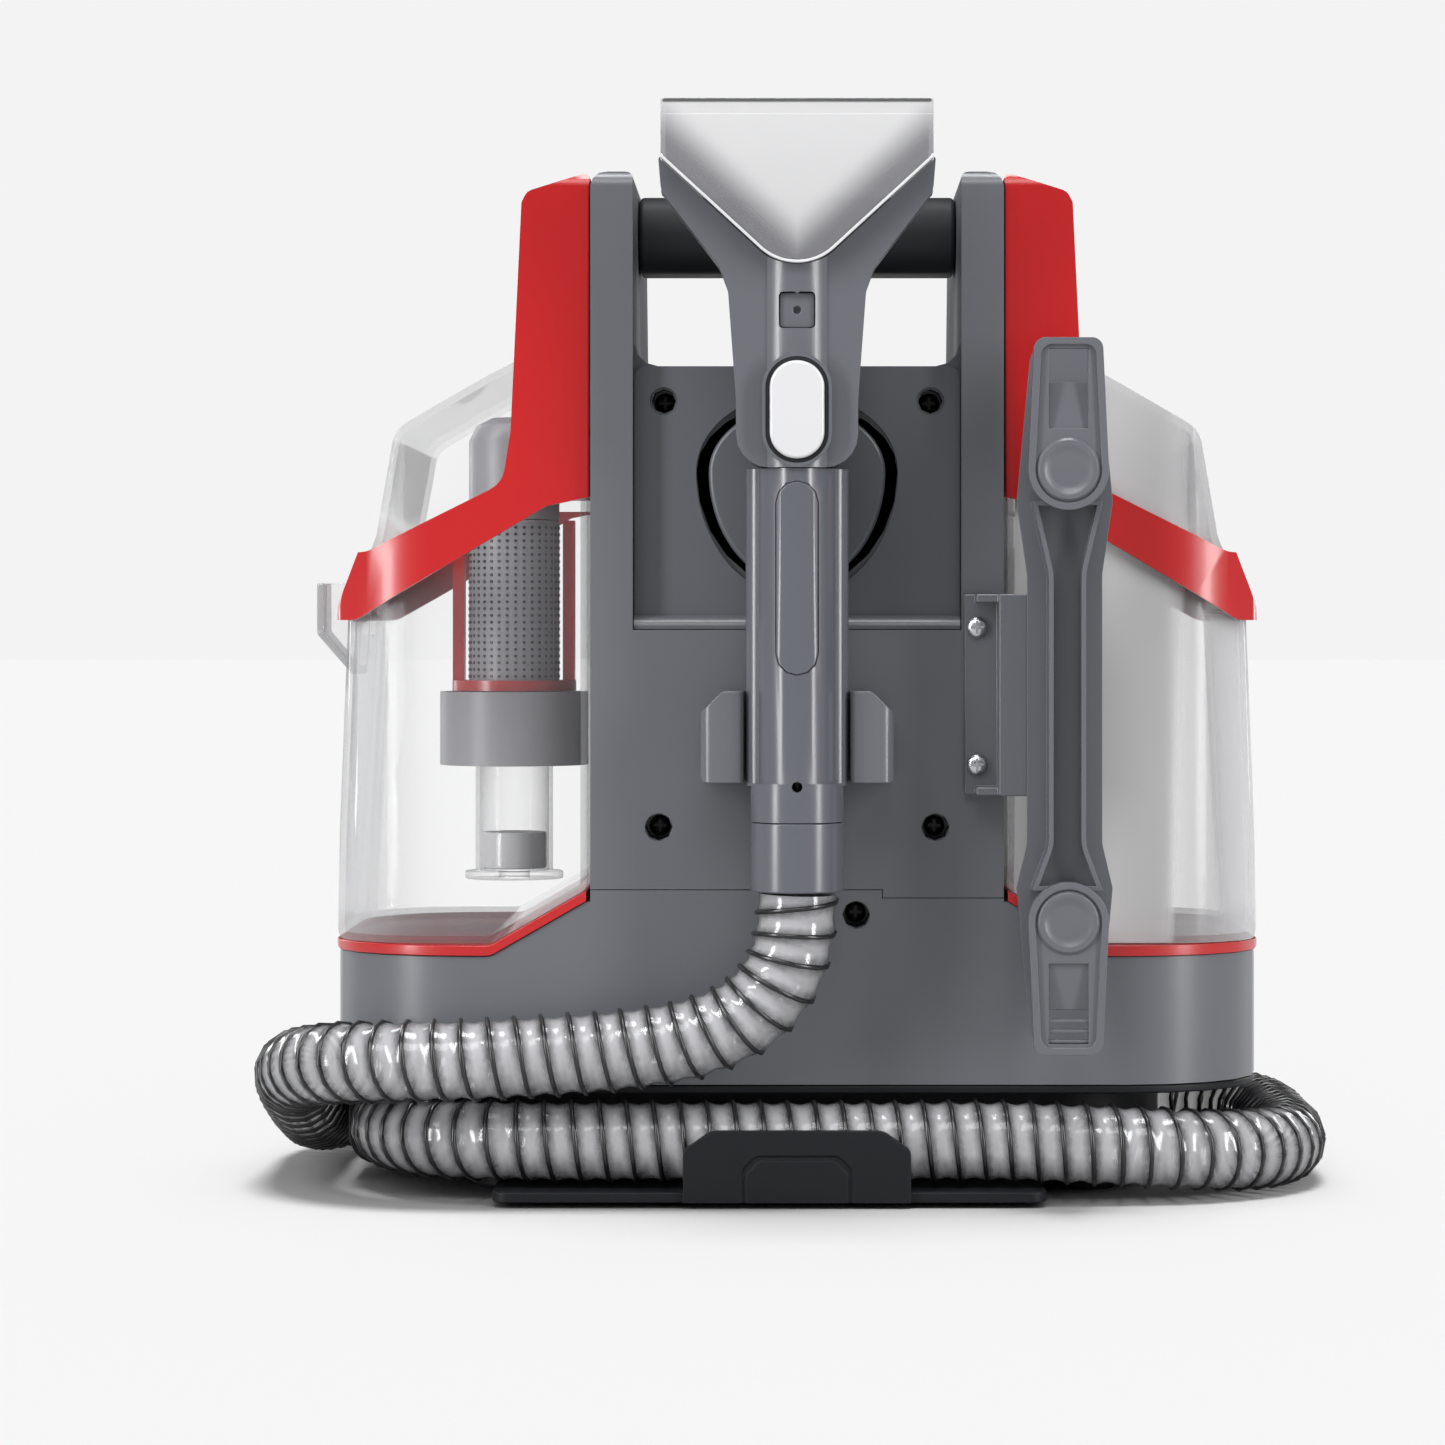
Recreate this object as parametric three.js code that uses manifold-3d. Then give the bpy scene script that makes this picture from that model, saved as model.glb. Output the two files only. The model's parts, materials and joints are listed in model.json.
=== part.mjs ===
// A portable spot carpet cleaner. A tower with a carry handle stands between two lift-off tanks on a wide
// base. A wand with its spot tool is clipped upright to the tower, its suction hose is wrapped round the
// base, and a cord wrap with two swivelling hooks stands beside it.
// Millimetres. +Z is up, the wand side faces -Y, and +X is to the right when looking at the wand side.

import * as THREE from 'three';
import { mergeVertices } from 'three/addons/utils/BufferGeometryUtils.js';
import Module from 'manifold-3d';

const wasm = await Module();
wasm.setup();

// ---------------------------------------------------------------- driving dimensions

const gap = 0.3; // left between two pieces that touch
const shellWall = 3; // moulded grey shells
const arcStep = { wide: Math.PI / 10, tight: Math.PI / 6 }; // turn of one chord on a rounded corner
const tightRadius = 9; // corners up to this radius take the longer chords

const base = {
  bayWidth: 96.5, // from the tower's side to the base's side, under a tank
  halfDepth: 100,
  cornerRadius: 52,
  bottom: 42, // lower rim of the shell
  seatTop: 92.7, // top of the red seats under the tanks
  seatRise: 20, // how much a seat climbs towards the tower
  slopeWidth: 35, // width of the climbing stretch
  collar: 4.3, // seam between base and tower, above the climbing stretch
  seamStep: 31, // x where the seam steps down
  seamDrop: 3,
};
const seat = { thickness: 3.7, overhang: 1 };
const pan = { halfWidth: 136, halfDepth: 87, cornerRadius: 42, bottom: 6, wall: 2.5 };
const foot = { radius: 12, bevel: 1.5, inX: 28, inY: 27 }; // its axis lies this far inside the pan's sides
const tray = { left: -110, right: 90, front: 25, footClear: 8, bottom: 2 };
const clip = { halfWidth: 41, front: 27, thickness: 3.5, top: 28, side: 7, chamfer: 10 };
const arch = { halfWidth: 20, height: 19, chamfer: 5, line: 1.6, depth: 0.8 }; // raised line on the clip

const tower = {
  halfWidth: 75.5,
  postWidth: 15.5,
  top: 376,
  openingDepth: 71, // of the hand opening, below the top
  slopeStart: 240, // height where the back starts to lean forward
  topBack: 50, // y of the back edge at the top
  panelBottom: 208,
  recessDepth: 8,
};
const handle = { height: 29, belowTop: 4, front: -48, depth: 46, radius: 13 };
const panel = { thickness: 3, holeRadius: 4.5, holeX: 48.9, holeBelowTop: 13 };
const egg = { halfWidth: 37, abovePanel: 58, low: 43, high: 26, depth: 20, wall: 2 };
const boss = { radius: 8, length: 28, counterbore: 5, depth: 18, pilot: 2.3 };
const screw = { headRadius: 3.8, head: 2.6, shankRadius: 1.9, length: 18 };
const screwHoles = { lowX: 50.5, aboveSeam: 23, baseX: 21.5, belowSeam: 9 };

const tank = {
  wall: 2.5,
  towerGap: 1.5, // between the tower's side and the tank's inner wall
  setIn: 8, // tank faces lie this far behind the base's faces
  footOverhang: 0.5,
  cornerRadius: 40,
  topAboveSeat: 227,
  // Outer side, as [inwards from the foot, above the seat].
  shoulders: [[6, 123], [17.5, 150], [24.5, 189], [59.5, 209]],
};
const frame = {
  thickness: 3.7,
  towerGap: 0.4,
  uprightTop: 23, // width of the upright at its top
  uprightFoot: 29,
  outerDrop: 7.4,
  capWall: 4,
};
const port = { radius: 10, wall: 2, height: 177.3 }; // air port from the dirty tank, above the seat

// Separator column in the dirty tank. Its heights are above the seat.
const separator = {
  sideClear: 1.3, // between its cup and the tank's inner wall
  capTop: 197.3,
  capBottom: 157.9,
  radius: 17.5,
  wall: 2,
  screenBottom: 91.9,
  railOut: 24,
  railHalfWidth: 4,
  cupRadius: 28.7,
  cupBottom: 63.3,
  cageRadius: 15,
  cageWall: 1.5,
  cageBottom: 19.3,
  cageFlange: 19,
  cageFloor: 3,
  cageHole: 6,
};
const float = { play: 1, lift: 4, height: 14 };
// Heights of the spout are above the seat too.
const spout = { halfWidth: 18, reach: 14.5, top: 133.3, corner: 113.8, bottom: 98.3, wall: 2, rim: 3 };
const slot = { narrower: 5, low: 20, high: 6 }; // through the tank's wall into the spout, below its top
const flap = { play: 1, thickness: 2.4, height: 14, pin: 1.6, inwards: 4.4 };
const cap = { fromSlope: 20, radius: 21, height: 11, neckRadius: 12, neck: 6, bore: 3, play: 0.8, under: 2 };

// Heights on the wand are above its lower end.
const wand = {
  axisOut: 24, // its axis lies this far in front of the tower
  bottom: 139,
  length: 127,
  gripRadius: 14.5,
  gripForward: 2, // centre of the round grip, in front of the axis
  railHalfWidth: 18.5,
  railBottom: 13,
  railFront: 4,
  railBack: 14,
  boreRadius: 7,
  boreForward: 5,
  spigotRadius: 11,
  spigotLength: 22,
  spigotPlay: 0.5,
  tetherHole: 2,
};
const cuff = { radius: 16.75, bore: 11, length: 25 };
const pad = { halfWidth: 7.5, bottom: 53, top: 122, proud: 0.4, depth: 2 };
const trigger = { halfWidth: 5.5, play: 0.8, pivotY: 9, belowTop: 8, tipY: 26, drop: 46, thickness: 6 };
const cradle = { halfWidth: 35, bottom: 14, top: 47, reach: 28, plate: 3.2, play: 0.6, chamfer: 8 };

// Heights on the tool are above the wand's upper end.
const tool = {
  neckHalfWidth: 21.8,
  neckTop: 63.7,
  topHalfWidth: 49.6,
  top: 111,
  front: 18, // in front of the wand's axis
  back: 14,
  backTop: 52, // where the back starts to lean forward
  frontTop: 69,
  thinFrom: 86, // from here up it is as thin as the nozzle
  vApex: 74.5,
  vTop: 105,
  vHalfWidth: 46,
};
const nozzle = { halfWidth: 50, rise: 20, front: 21, back: 2, wall: 1.8 };
const button = { halfWidth: 9.75, bottom: 3, top: 38, thickness: 4, play: 0.8, travel: 2.5 };
const tip = { halfSide: 6.5, z: 56, recess: 6, thickness: 3, bore: 1.5 };

const wrap = {
  x: 96.5,
  plateOut: 18, // its back plate lies this far in front of the tower
  plate: 3,
  column: 17,
  upperZ: 265,
  lowerZ: 104,
  plateHalfWidth: 17.3,
  waistHalfWidth: 13.5,
  columnHalfWidth: 12.5,
  columnWaist: 6.6,
  grooveWall: 1.6,
  groove: 8,
  flare: 26,
};
const hook = {
  radius: 14.3,
  endHalfWidth: 12.1,
  reach: 47,
  thickness: 7,
  slot: 7.1,
  slotFrom: 31,
  slotTo: 43,
  pin: 3.5,
  pinLength: 11,
};
const bracket = {
  left: 61,
  web: 73,
  tip: 95,
  bottom: 148,
  top: 221,
  thickness: 3,
  screwX: 65.5,
  lowScrew: 11, // above the bottom
  highScrew: 12, // below the top
};

const hose = { radius: 15.5, sides: 8, steps: 72 };
const hosePort = {
  halfWidth: 16.7,
  z: 22,
  mouthY: -40,
  length: 38,
  height: 32,
  corner: 11,
  bore: 11,
  floor: 5,
};
// Centreline of the hose in its wrapped lie, from the wand's cuff to the port in the base.
const hoseRoute = [
  [0, -124, 113.2], [-0.5, -124, 102], [-5, -124, 85], [-17, -123.5, 70.5], [-36, -122.5, 61.5],
  [-60, -121.5, 57], [-90, -121.5, 54.5], [-118, -121.5, 53], [-145, -116.5, 52], [-168, -101, 50],
  [-183, -78, 46], [-188.7, -51, 40.5], [-188.7, -10, 27], [-188.2, 35, 18], [-182, 62, 16],
  [-166.5, 85, 15.8], [-143.8, 100.5, 15.8], [-117, 105.5, 15.8], [-58, 106, 15.8], [0, 106, 15.8],
  [58, 106, 15.8], [115, 105.5, 15.8], [141.8, 100, 15.8], [164.5, 84.5, 15.8], [179.7, 61.8, 15.8],
  [185, 35, 15.8], [185, 0, 15.8], [185, -36, 15.8], [179.7, -62.8, 16], [164.5, -85.5, 16.8],
  [141.8, -100.7, 18.5], [115, -106, 20.5], [75, -106, 22], [20, -106, 22], [-40, -106, 22],
  [-93, -106, 22], [-116, -101.4, 22], [-135.4, -88.4, 22], [-148.4, -69, 22], [-153, -46, 22],
  [-153, -40.3, 22],
];

const motor = {
  y: 10,
  radius: 40,
  bottom: 44,
  shoulder: 110,
  top: 126,
  topRadius: 30,
  shaft: 4,
  shaftPlay: 0.4,
  bearing: 10, // depth of the bore at its top
};
const fan = {
  bottom: 128.4,
  top: 172,
  radius: 58,
  inlet: 16,
  wheelRadius: 48,
  wheelClear: 9, // above and below the wheel
  plate: 2,
  hub: 9,
  blades: 8,
  outletHalfWidth: 20,
};
const duct = { radius: 11, wall: 2 };
const pump = {
  sideClear: 7.5,
  motorLength: 28,
  motorRadius: 12,
  length: 40,
  front: 20,
  back: 52,
  bottom: 9.4,
  top: 34,
};
const pumpTube = { radius: 3.5, z: 22 };
const powerButton = { radius: 13, play: 0.5, z: 215, proud: 3, flange: 2.5, flangeWidth: 2 };
const grille = { halfWidth: 40, bottom: 128, top: 176, slots: 6, slot: 4, border: 5 };

// ---------------------------------------------------------------- places worked out from them

const front = -base.halfDepth;
const back = base.halfDepth;
const baseHalf = tower.halfWidth + base.bayWidth;
const innerX = tower.halfWidth + tank.towerGap;
const tankFootX = baseHalf + tank.footOverhang;
const slopeX = innerX + base.slopeWidth;
const seatLedge = base.seatTop - seat.thickness - gap; // top of the base shell under a seat
const seam = seatLedge + base.seatRise + base.collar;
const tankBottom = base.seatTop + gap;
const tankTop = base.seatTop + tank.topAboveSeat;
const holeHalf = tower.halfWidth - tower.postWidth;
const panelFace = front + tower.recessDepth;
const panelBack = panelFace + panel.thickness;
const panelTop = tower.top - tower.openingDepth; // also the floor of the hand opening
const wandY = front - wand.axisOut;
const plateBack = front - wrap.plateOut;
const footPlace = { x: pan.halfWidth - foot.inX, y: pan.halfDepth - foot.inY };
const separatorX = innerX + tank.wall + separator.sideClear + separator.cupRadius;
const spoutTop = base.seatTop + spout.top;
const capX = slopeX + cap.fromSlope;
const hosePortX = -pan.halfWidth - gap - hosePort.halfWidth;
const motorHole = motor.radius + 8; // through the base's roof and the tower's floor
const far = 600; // past every face of the machine
const past = 1; // how far a cutter runs past the face that it cuts

// ---------------------------------------------------------------- finishes

const greyShell = { color: 0x606368, roughness: 0.42, metalness: 0 };
const darkShell = { color: 0x2a2c30, roughness: 0.5, metalness: 0 };
const panelGrey = { color: 0x54575c, roughness: 0.45, metalness: 0 };
const red = { color: 0xc7282a, roughness: 0.35, metalness: 0 };
const clear = { color: 0xdfe3e6, roughness: 0.08, metalness: 0, transparent: true, opacity: 0.3 };
const smoke = { color: 0x9a9a9c, roughness: 0.12, metalness: 0, transparent: true, opacity: 0.6 };
const toolGrey = { color: 0x707078, roughness: 0.35, metalness: 0 };
const wandGrey = { color: 0x646770, roughness: 0.35, metalness: 0 };
const separatorGrey = { color: 0x8f8e93, roughness: 0.4, metalness: 0 };
const rubberBlack = { color: 0x151517, roughness: 0.8, metalness: 0 };
const white = { color: 0xeeeef0, roughness: 0.25, metalness: 0 };
const steel = { color: 0xb0b2b6, roughness: 0.3, metalness: 1 };
const hoseClear = { color: 0x8f8f92, roughness: 0.25, metalness: 0, transparent: true, opacity: 0.6 };

// ---------------------------------------------------------------- solids from three.js geometry

function manifold(positions, triangles) {
  return new wasm.Manifold(new wasm.Mesh({ numProp: 3, vertProperties: positions, triVerts: triangles }));
}

// The closed solid of a geometry, its shared vertices merged, its slivers dropped and its faces outwards.
function solid(geometry) {
  geometry.deleteAttribute('normal');
  geometry.deleteAttribute('uv');
  const merged = mergeVertices(geometry, 1e-4);
  const positions = new Float32Array(merged.attributes.position.array);
  const triangles = [];
  for (let i = 0; i < merged.index.count; i += 3) {
    const [a, b, c] = [0, 1, 2].map((k) => merged.index.getX(i + k));
    if (a !== b && b !== c && c !== a) triangles.push(a, b, c);
  }
  const made = manifold(positions, new Uint32Array(triangles));
  return made.volume() > 0 ? made : manifold(positions, new Uint32Array(triangles.reverse()));
}

function surface(shape) {
  const { vertProperties, triVerts } = shape.getMesh();
  const geometry = new THREE.BufferGeometry();
  geometry.setAttribute('position', new THREE.BufferAttribute(new Float32Array(vertProperties), 3));
  geometry.setIndex(new THREE.BufferAttribute(new Uint32Array(triVerts), 1));
  const flat = geometry.toNonIndexed();
  flat.computeVertexNormals();
  return flat;
}

function addPart(parent, name, shape, finish) {
  const mesh = new THREE.Mesh(surface(shape), new THREE.MeshStandardMaterial(finish));
  mesh.name = name;
  parent.add(mesh);
  return mesh;
}

function at(list, i) {
  const [u, v] = list[(i + list.length) % list.length];
  return new THREE.Vector2(u, v);
}

// A closed shape through corners [u, v, radius]. A radius turns its corner into an arc, which never takes
// more than half of either side.
function outline(corners) {
  const points = [];
  corners.forEach(([u, v, radius = 0], i) => {
    const here = new THREE.Vector2(u, v);
    const toBefore = at(corners, i - 1).sub(here);
    const toAfter = at(corners, i + 1).sub(here);
    const room = Math.min(toBefore.length(), toAfter.length()) / 2;
    toBefore.normalize();
    toAfter.normalize();
    const half = Math.acos(THREE.MathUtils.clamp(toBefore.dot(toAfter), -1, 1)) / 2;
    const cut = Math.min(radius / Math.tan(half), room);
    const turn = Math.PI - 2 * half;
    if (cut < 0.05 || turn < 0.05) {
      points.push(here);
      return;
    }
    const fitted = cut * Math.tan(half);
    const inwards = toBefore.clone().add(toAfter).normalize();
    const centre = here.clone().addScaledVector(inwards, fitted / Math.sin(half));
    const start = here.clone().addScaledVector(toBefore, cut).sub(centre);
    const way = Math.sign(start.cross(here.clone().addScaledVector(toAfter, cut).sub(centre)));
    const step = radius > tightRadius ? arcStep.wide : arcStep.tight;
    const chords = Math.max(2, Math.ceil(turn / step - 0.01));
    for (let k = 0; k <= chords; k += 1) {
      const spoke = start.clone().rotateAround(new THREE.Vector2(), (way * turn * k) / chords);
      points.push(spoke.add(centre));
    }
  });
  return new THREE.Shape(points);
}

// The corners moved inwards by a distance, or outwards where it is negative.
function inset(corners, distance) {
  const side = Math.sign(THREE.ShapeUtils.area(corners.map((c, i) => at(corners, i))));
  return corners.map(([u, v, radius = 0], i) => {
    const here = new THREE.Vector2(u, v);
    const came = here.clone().sub(at(corners, i - 1)).normalize();
    const leaves = at(corners, i + 1).sub(here).normalize();
    const bulge = Math.sign(came.cross(leaves)) * side;
    const inA = new THREE.Vector2(-came.y, came.x).multiplyScalar(side);
    const inB = new THREE.Vector2(-leaves.y, leaves.x).multiplyScalar(side);
    const moved = here.addScaledVector(inA.clone().add(inB), distance / (1 + inA.dot(inB)));
    return [moved.x, moved.y, radius ? Math.max(radius - bulge * distance, 0) : 0];
  });
}

function mirrored(corners, side) {
  return side > 0 ? corners : corners.map(([u, v, radius]) => [-u, v, radius]).reverse();
}

function rectangle(u0, u1, v0, v1, radius = 0) {
  return [[u0, v0, radius], [u1, v0, radius], [u1, v1, radius], [u0, v1, radius]];
}

const swing = {
  x: new THREE.Matrix4().set(0, 0, 1, 0, 1, 0, 0, 0, 0, 1, 0, 0, 0, 0, 0, 1), // (u, v, w) to (w, u, v)
  y: new THREE.Matrix4().set(1, 0, 0, 0, 0, 0, -1, 0, 0, 1, 0, 0, 0, 0, 0, 1), // (u, v, w) to (u, -w, v)
  z: new THREE.Matrix4(),
};

function slab(shape, low, high, turn) {
  const geometry = new THREE.ExtrudeGeometry(shape, { depth: high - low, bevelEnabled: false });
  return solid(geometry.translate(0, 0, low).applyMatrix4(turn));
}

const slabX = (corners, low, high) => slab(outline(corners), low, high, swing.x); // corners in (y, z)
const slabY = (corners, low, high) => slab(outline(corners), -high, -low, swing.y); // corners in (x, z)
const slabZ = (corners, low, high) => slab(outline(corners), low, high, swing.z); // corners in (x, y)

function box(x0, x1, y0, y1, z0, z1) {
  const geometry = new THREE.BoxGeometry(x1 - x0, y1 - y0, z1 - z0);
  return solid(geometry.translate((x0 + x1) / 2, (y0 + y1) / 2, (z0 + z1) / 2));
}

function rod(radius, low, high) {
  const sides = radius > 20 ? 28 : radius > 6 ? 16 : 8;
  const geometry = new THREE.CylinderGeometry(radius, radius, high - low, sides);
  return geometry.rotateX(Math.PI / 2).translate(0, 0, (low + high) / 2);
}

function rodX(radius, y, z, low, high) {
  return solid(rod(radius, low, high).rotateY(Math.PI / 2).translate(0, y, z));
}

function rodY(radius, x, z, low, high) {
  return solid(rod(radius, -high, -low).rotateX(Math.PI / 2).translate(x, 0, z));
}

function rodZ(radius, x, y, low, high) {
  return solid(rod(radius, low, high).translate(x, y, 0));
}

// A turned solid about a vertical axis at (x, y), from a profile of [radius, height].
function turned(profile, x, y, sides = 24) {
  const points = profile.map(([radius, height]) => new THREE.Vector2(radius, height));
  return solid(new THREE.LatheGeometry(points, sides).rotateX(Math.PI / 2).translate(x, y, 0));
}

function ring(inner, outer, low, high, x, y, sides) {
  return turned([[inner, low], [outer, low], [outer, high], [inner, high], [inner, low]], x, y, sides);
}

// A solid of one section along a smooth curve, with an optional bore.
function tube(points, radius, bore, sides, steps) {
  const circle = (r, way) => Array.from({ length: sides }, (_, k) => {
    const angle = (way * 2 * Math.PI * k) / sides;
    return new THREE.Vector2(r * Math.cos(angle), r * Math.sin(angle));
  });
  const section = new THREE.Shape(circle(radius, 1));
  if (bore) section.holes.push(new THREE.Path(circle(bore, -1)));
  const path = new THREE.CatmullRomCurve3(points.map((p) => new THREE.Vector3(...p)));
  return solid(new THREE.ExtrudeGeometry(section, { steps, extrudePath: path, bevelEnabled: false }));
}

// ---------------------------------------------------------------- shared outlines

// Side view of the machine in (y, z): upright at the front, leaning forward at the top of the back.
function sideOutline(setIn, top = tower.top) {
  return [
    [front + setIn, -far], [back - setIn, -far], [back - setIn, tower.slopeStart, 30],
    [tower.topBack - setIn, top, 12], [front + setIn, top, 6],
  ];
}

function basePlan(grow) {
  return rectangle(-baseHalf - grow, baseHalf + grow, front - grow, back + grow,
    base.cornerRadius + grow);
}

function tankProfile(side) {
  const shoulders = tank.shoulders.map(([inwards, up]) => [tankFootX - inwards, base.seatTop + up, 10]);
  return mirrored([
    [innerX, tankBottom + base.seatRise, 3], [slopeX, tankBottom, 6], [tankFootX, tankBottom, 4],
    ...shoulders, [innerX, tankTop, 3],
  ], side);
}

function tankPlan(side) {
  const radius = tank.cornerRadius;
  return mirrored([
    [innerX, front + tank.setIn, 3], [tankFootX, front + tank.setIn, radius],
    [tankFootX, back - tank.setIn, radius], [innerX, back - tank.setIn, 3],
  ], side);
}

// The outer block of a tank, grown by a distance, or shrunk where it is negative.
function tankBlock(side, grow) {
  const profile = slabY(inset(tankProfile(side), -grow), -far, far);
  const plan = slabZ(inset(tankPlan(side), -grow), 0, far);
  const sides = slabX(inset(sideOutline(tank.setIn, far), -grow), -far, far);
  return profile.intersect(plan).intersect(sides);
}

// Screw boss on the inside of a front face: a post with a counterbore and a pilot hole.
function bossAt(x, z, face) {
  return rodY(boss.radius, x, z, face + shellWall / 2, face + boss.length);
}

function bossBore(x, z, face) {
  const counterbore = rodY(boss.counterbore, x, z, face - past, face + boss.depth);
  return counterbore.add(rodY(boss.pilot, x, z, face, face + boss.length + past));
}

function housingScrew(parent, name, x, z, face) {
  const seatY = face + boss.depth - gap;
  const head = rodY(screw.headRadius, 0, 0, -screw.head, 0);
  const mesh = addPart(parent, name, head.add(rodY(screw.shankRadius, 0, 0, -0.1, screw.length)), steel);
  mesh.position.set(x, seatY, z);
}

// ---------------------------------------------------------------- base

function baseOutline(grow) {
  const inner = tower.halfWidth;
  const rise = seatLedge + base.seatRise;
  return inset([
    [-baseHalf, base.bottom], [baseHalf, base.bottom], [baseHalf, seatLedge, 2],
    [slopeX, seatLedge, 6], [innerX, rise], [inner, rise], [inner, seam - base.seamDrop],
    [base.seamStep, seam - base.seamDrop], [base.seamStep, seam], [-inner, seam], [-inner, rise],
    [-innerX, rise], [-slopeX, seatLedge, 6], [-baseHalf, seatLedge, 2],
  ], -grow);
}

function baseShell(parent) {
  const outer = slabY(baseOutline(0), -far, far).intersect(slabZ(basePlan(0), 0, far));
  const openHalf = baseHalf - shellWall;
  const hollow = slabY(baseOutline(-shellWall), -far, far)
    .add(box(-openHalf, openHalf, -far, far, 0, base.bottom + 2 * shellWall))
    .intersect(slabZ(basePlan(-shellWall), 0, far));
  const wellBottom = tankBottom - cap.height - cap.under;
  const wellRadius = cap.radius + cap.play;
  const screwZ = seam - screwHoles.belowSeam;
  const shape = outer.subtract(hollow)
    .add(rodZ(wellRadius + shellWall, capX, 0, wellBottom - shellWall, seatLedge))
    .subtract(rodZ(wellRadius, capX, 0, wellBottom, seatLedge + past))
    .subtract(rodZ(motorHole, 0, motor.y, base.bottom, seam + past))
    .add(bossAt(screwHoles.baseX, screwZ, front))
    .subtract(bossBore(screwHoles.baseX, screwZ, front));
  addPart(parent, 'base_shell', shape, greyShell);
}

function bottomPan(parent) {
  const plan = rectangle(-pan.halfWidth, pan.halfWidth, -pan.halfDepth, pan.halfDepth, pan.cornerRadius);
  const rim = base.bottom - gap;
  const flange = slabZ(basePlan(0), rim - shellWall, rim);
  const shape = slabZ(plan, pan.bottom, rim).add(flange)
    .subtract(slabZ(inset(plan, pan.wall), pan.bottom + shellWall, far));
  addPart(parent, 'bottom_pan', shape, darkShell);
}

function archOutline(within) {
  const half = arch.halfWidth - within;
  const high = arch.height - within;
  const shoulder = half - arch.chamfer;
  return [[-half, 0], [half, 0], [half, high - arch.chamfer, 4], [shoulder, high, 4], [-shoulder, high, 4],
    [-half, high - arch.chamfer, 4]];
}

function hoseClip(parent) {
  const trayTop = pan.bottom - gap;
  const trayFront = front - tray.front;
  const trayBack = -footPlace.y - foot.radius - tray.footClear;
  const plate = slabZ(rectangle(tray.left, tray.right, trayFront, trayBack, 6), tray.bottom, trayTop);
  const { halfWidth, thickness, top, side, chamfer } = clip;
  const lipFront = front - clip.front;
  const lip = slabY([
    [-halfWidth, tray.bottom], [halfWidth, tray.bottom], [halfWidth, top - side, 3],
    [halfWidth - chamfer, top, 6], [-halfWidth + chamfer, top, 6], [-halfWidth, top - side, 3],
  ], lipFront, lipFront + thickness);
  const floorFront = lipFront + thickness / 2;
  const floor = box(-halfWidth, halfWidth, floorFront, trayFront + thickness, tray.bottom, trayTop);
  const line = slabY(archOutline(0), lipFront - past, lipFront + arch.depth)
    .subtract(slabY(archOutline(arch.line), lipFront - 2 * past, lipFront + arch.depth + past));
  addPart(parent, 'hose_clip', plate.add(lip).add(floor).subtract(line), darkShell);
}

function feet(parent) {
  const corners = [[-1, -1], [1, -1], [-1, 1], [1, 1]];
  const top = pan.bottom - gap;
  const { radius, bevel } = foot;
  const shape = turned([[0, 0], [radius - bevel, 0], [radius, bevel], [radius, top], [0, top]], 0, 0, 16);
  corners.forEach(([sx, sy], i) => {
    const mesh = addPart(parent, `foot_${i + 1}`, shape, rubberBlack);
    mesh.position.set(sx * footPlace.x, sy * footPlace.y, 0);
  });
}

function tankSeat(parent, name, side) {
  const top = base.seatTop;
  const low = top - seat.thickness;
  const profile = mirrored([
    [innerX, top + base.seatRise], [innerX, low + base.seatRise], [slopeX, low, 6],
    [baseHalf + seat.overhang, low, 1], [baseHalf + seat.overhang, top, 1], [slopeX, top, 6],
  ], side);
  let shape = slabY(profile, -far, far).intersect(slabZ(basePlan(seat.overhang), 0, far));
  if (side > 0) shape = shape.subtract(rodZ(cap.radius + cap.play, capX, 0, 0, far));
  addPart(parent, name, shape, red);
}

function hoseConnection(parent) {
  const { halfWidth, z, mouthY, length, height, corner, bore, floor } = hosePort;
  const x = hosePortX;
  const section = rectangle(x - halfWidth, x + halfWidth, z - height / 2, z + height / 2, corner);
  const block = slabY(section, mouthY, mouthY + length);
  const shape = block.subtract(rodY(bore, x, z, mouthY - past, mouthY + length - floor));
  addPart(parent, 'hose_port', shape, darkShell);
}

// ---------------------------------------------------------------- tower

function towerOutline() {
  const bottom = seam + gap;
  const dropped = bottom - base.seamDrop;
  const half = tower.halfWidth;
  return [
    [-half, bottom], [base.seamStep + gap, bottom], [base.seamStep + gap, dropped], [half, dropped],
    [half, tower.top, 6], [holeHalf, tower.top, 3], [holeHalf, panelTop, 9], [-holeHalf, panelTop, 9],
    [-holeHalf, tower.top, 3], [-half, tower.top, 6],
  ];
}

function towerBody() {
  const outer = slabY(towerOutline(), front, back).intersect(slabX(sideOutline(0), -far, far))
    .subtract(box(-holeHalf, holeHalf, -far, panelBack + gap, tower.panelBottom, far));
  const hollow = slabY(inset(towerOutline(), shellWall), front + shellWall, back - shellWall)
    .intersect(slabX(sideOutline(shellWall, tower.top - shellWall), -far, far))
    .subtract(box(-holeHalf - shellWall, holeHalf + shellWall, -far, panelBack + gap + shellWall,
      tower.panelBottom - shellWall, far));
  return outer.subtract(hollow)
    .subtract(rodZ(motorHole, 0, motor.y, seam - base.seamDrop - past, seam + 2 * shellWall))
    .subtract(rodX(port.radius, 0, base.seatTop + port.height, -tower.halfWidth - past,
      -tower.halfWidth + shellWall + past));
}

// Finger recess: an egg outline, widest above its middle.
function eggOutline(grow) {
  const points = 24;
  return Array.from({ length: points }, (_, k) => {
    const angle = (2 * Math.PI * k) / points;
    const reach = Math.sin(angle) > 0 ? egg.high : egg.low;
    const widest = tower.panelBottom + egg.abovePanel;
    return [(egg.halfWidth + grow) * Math.cos(angle), widest + (reach + grow) * Math.sin(angle)];
  });
}

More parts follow.
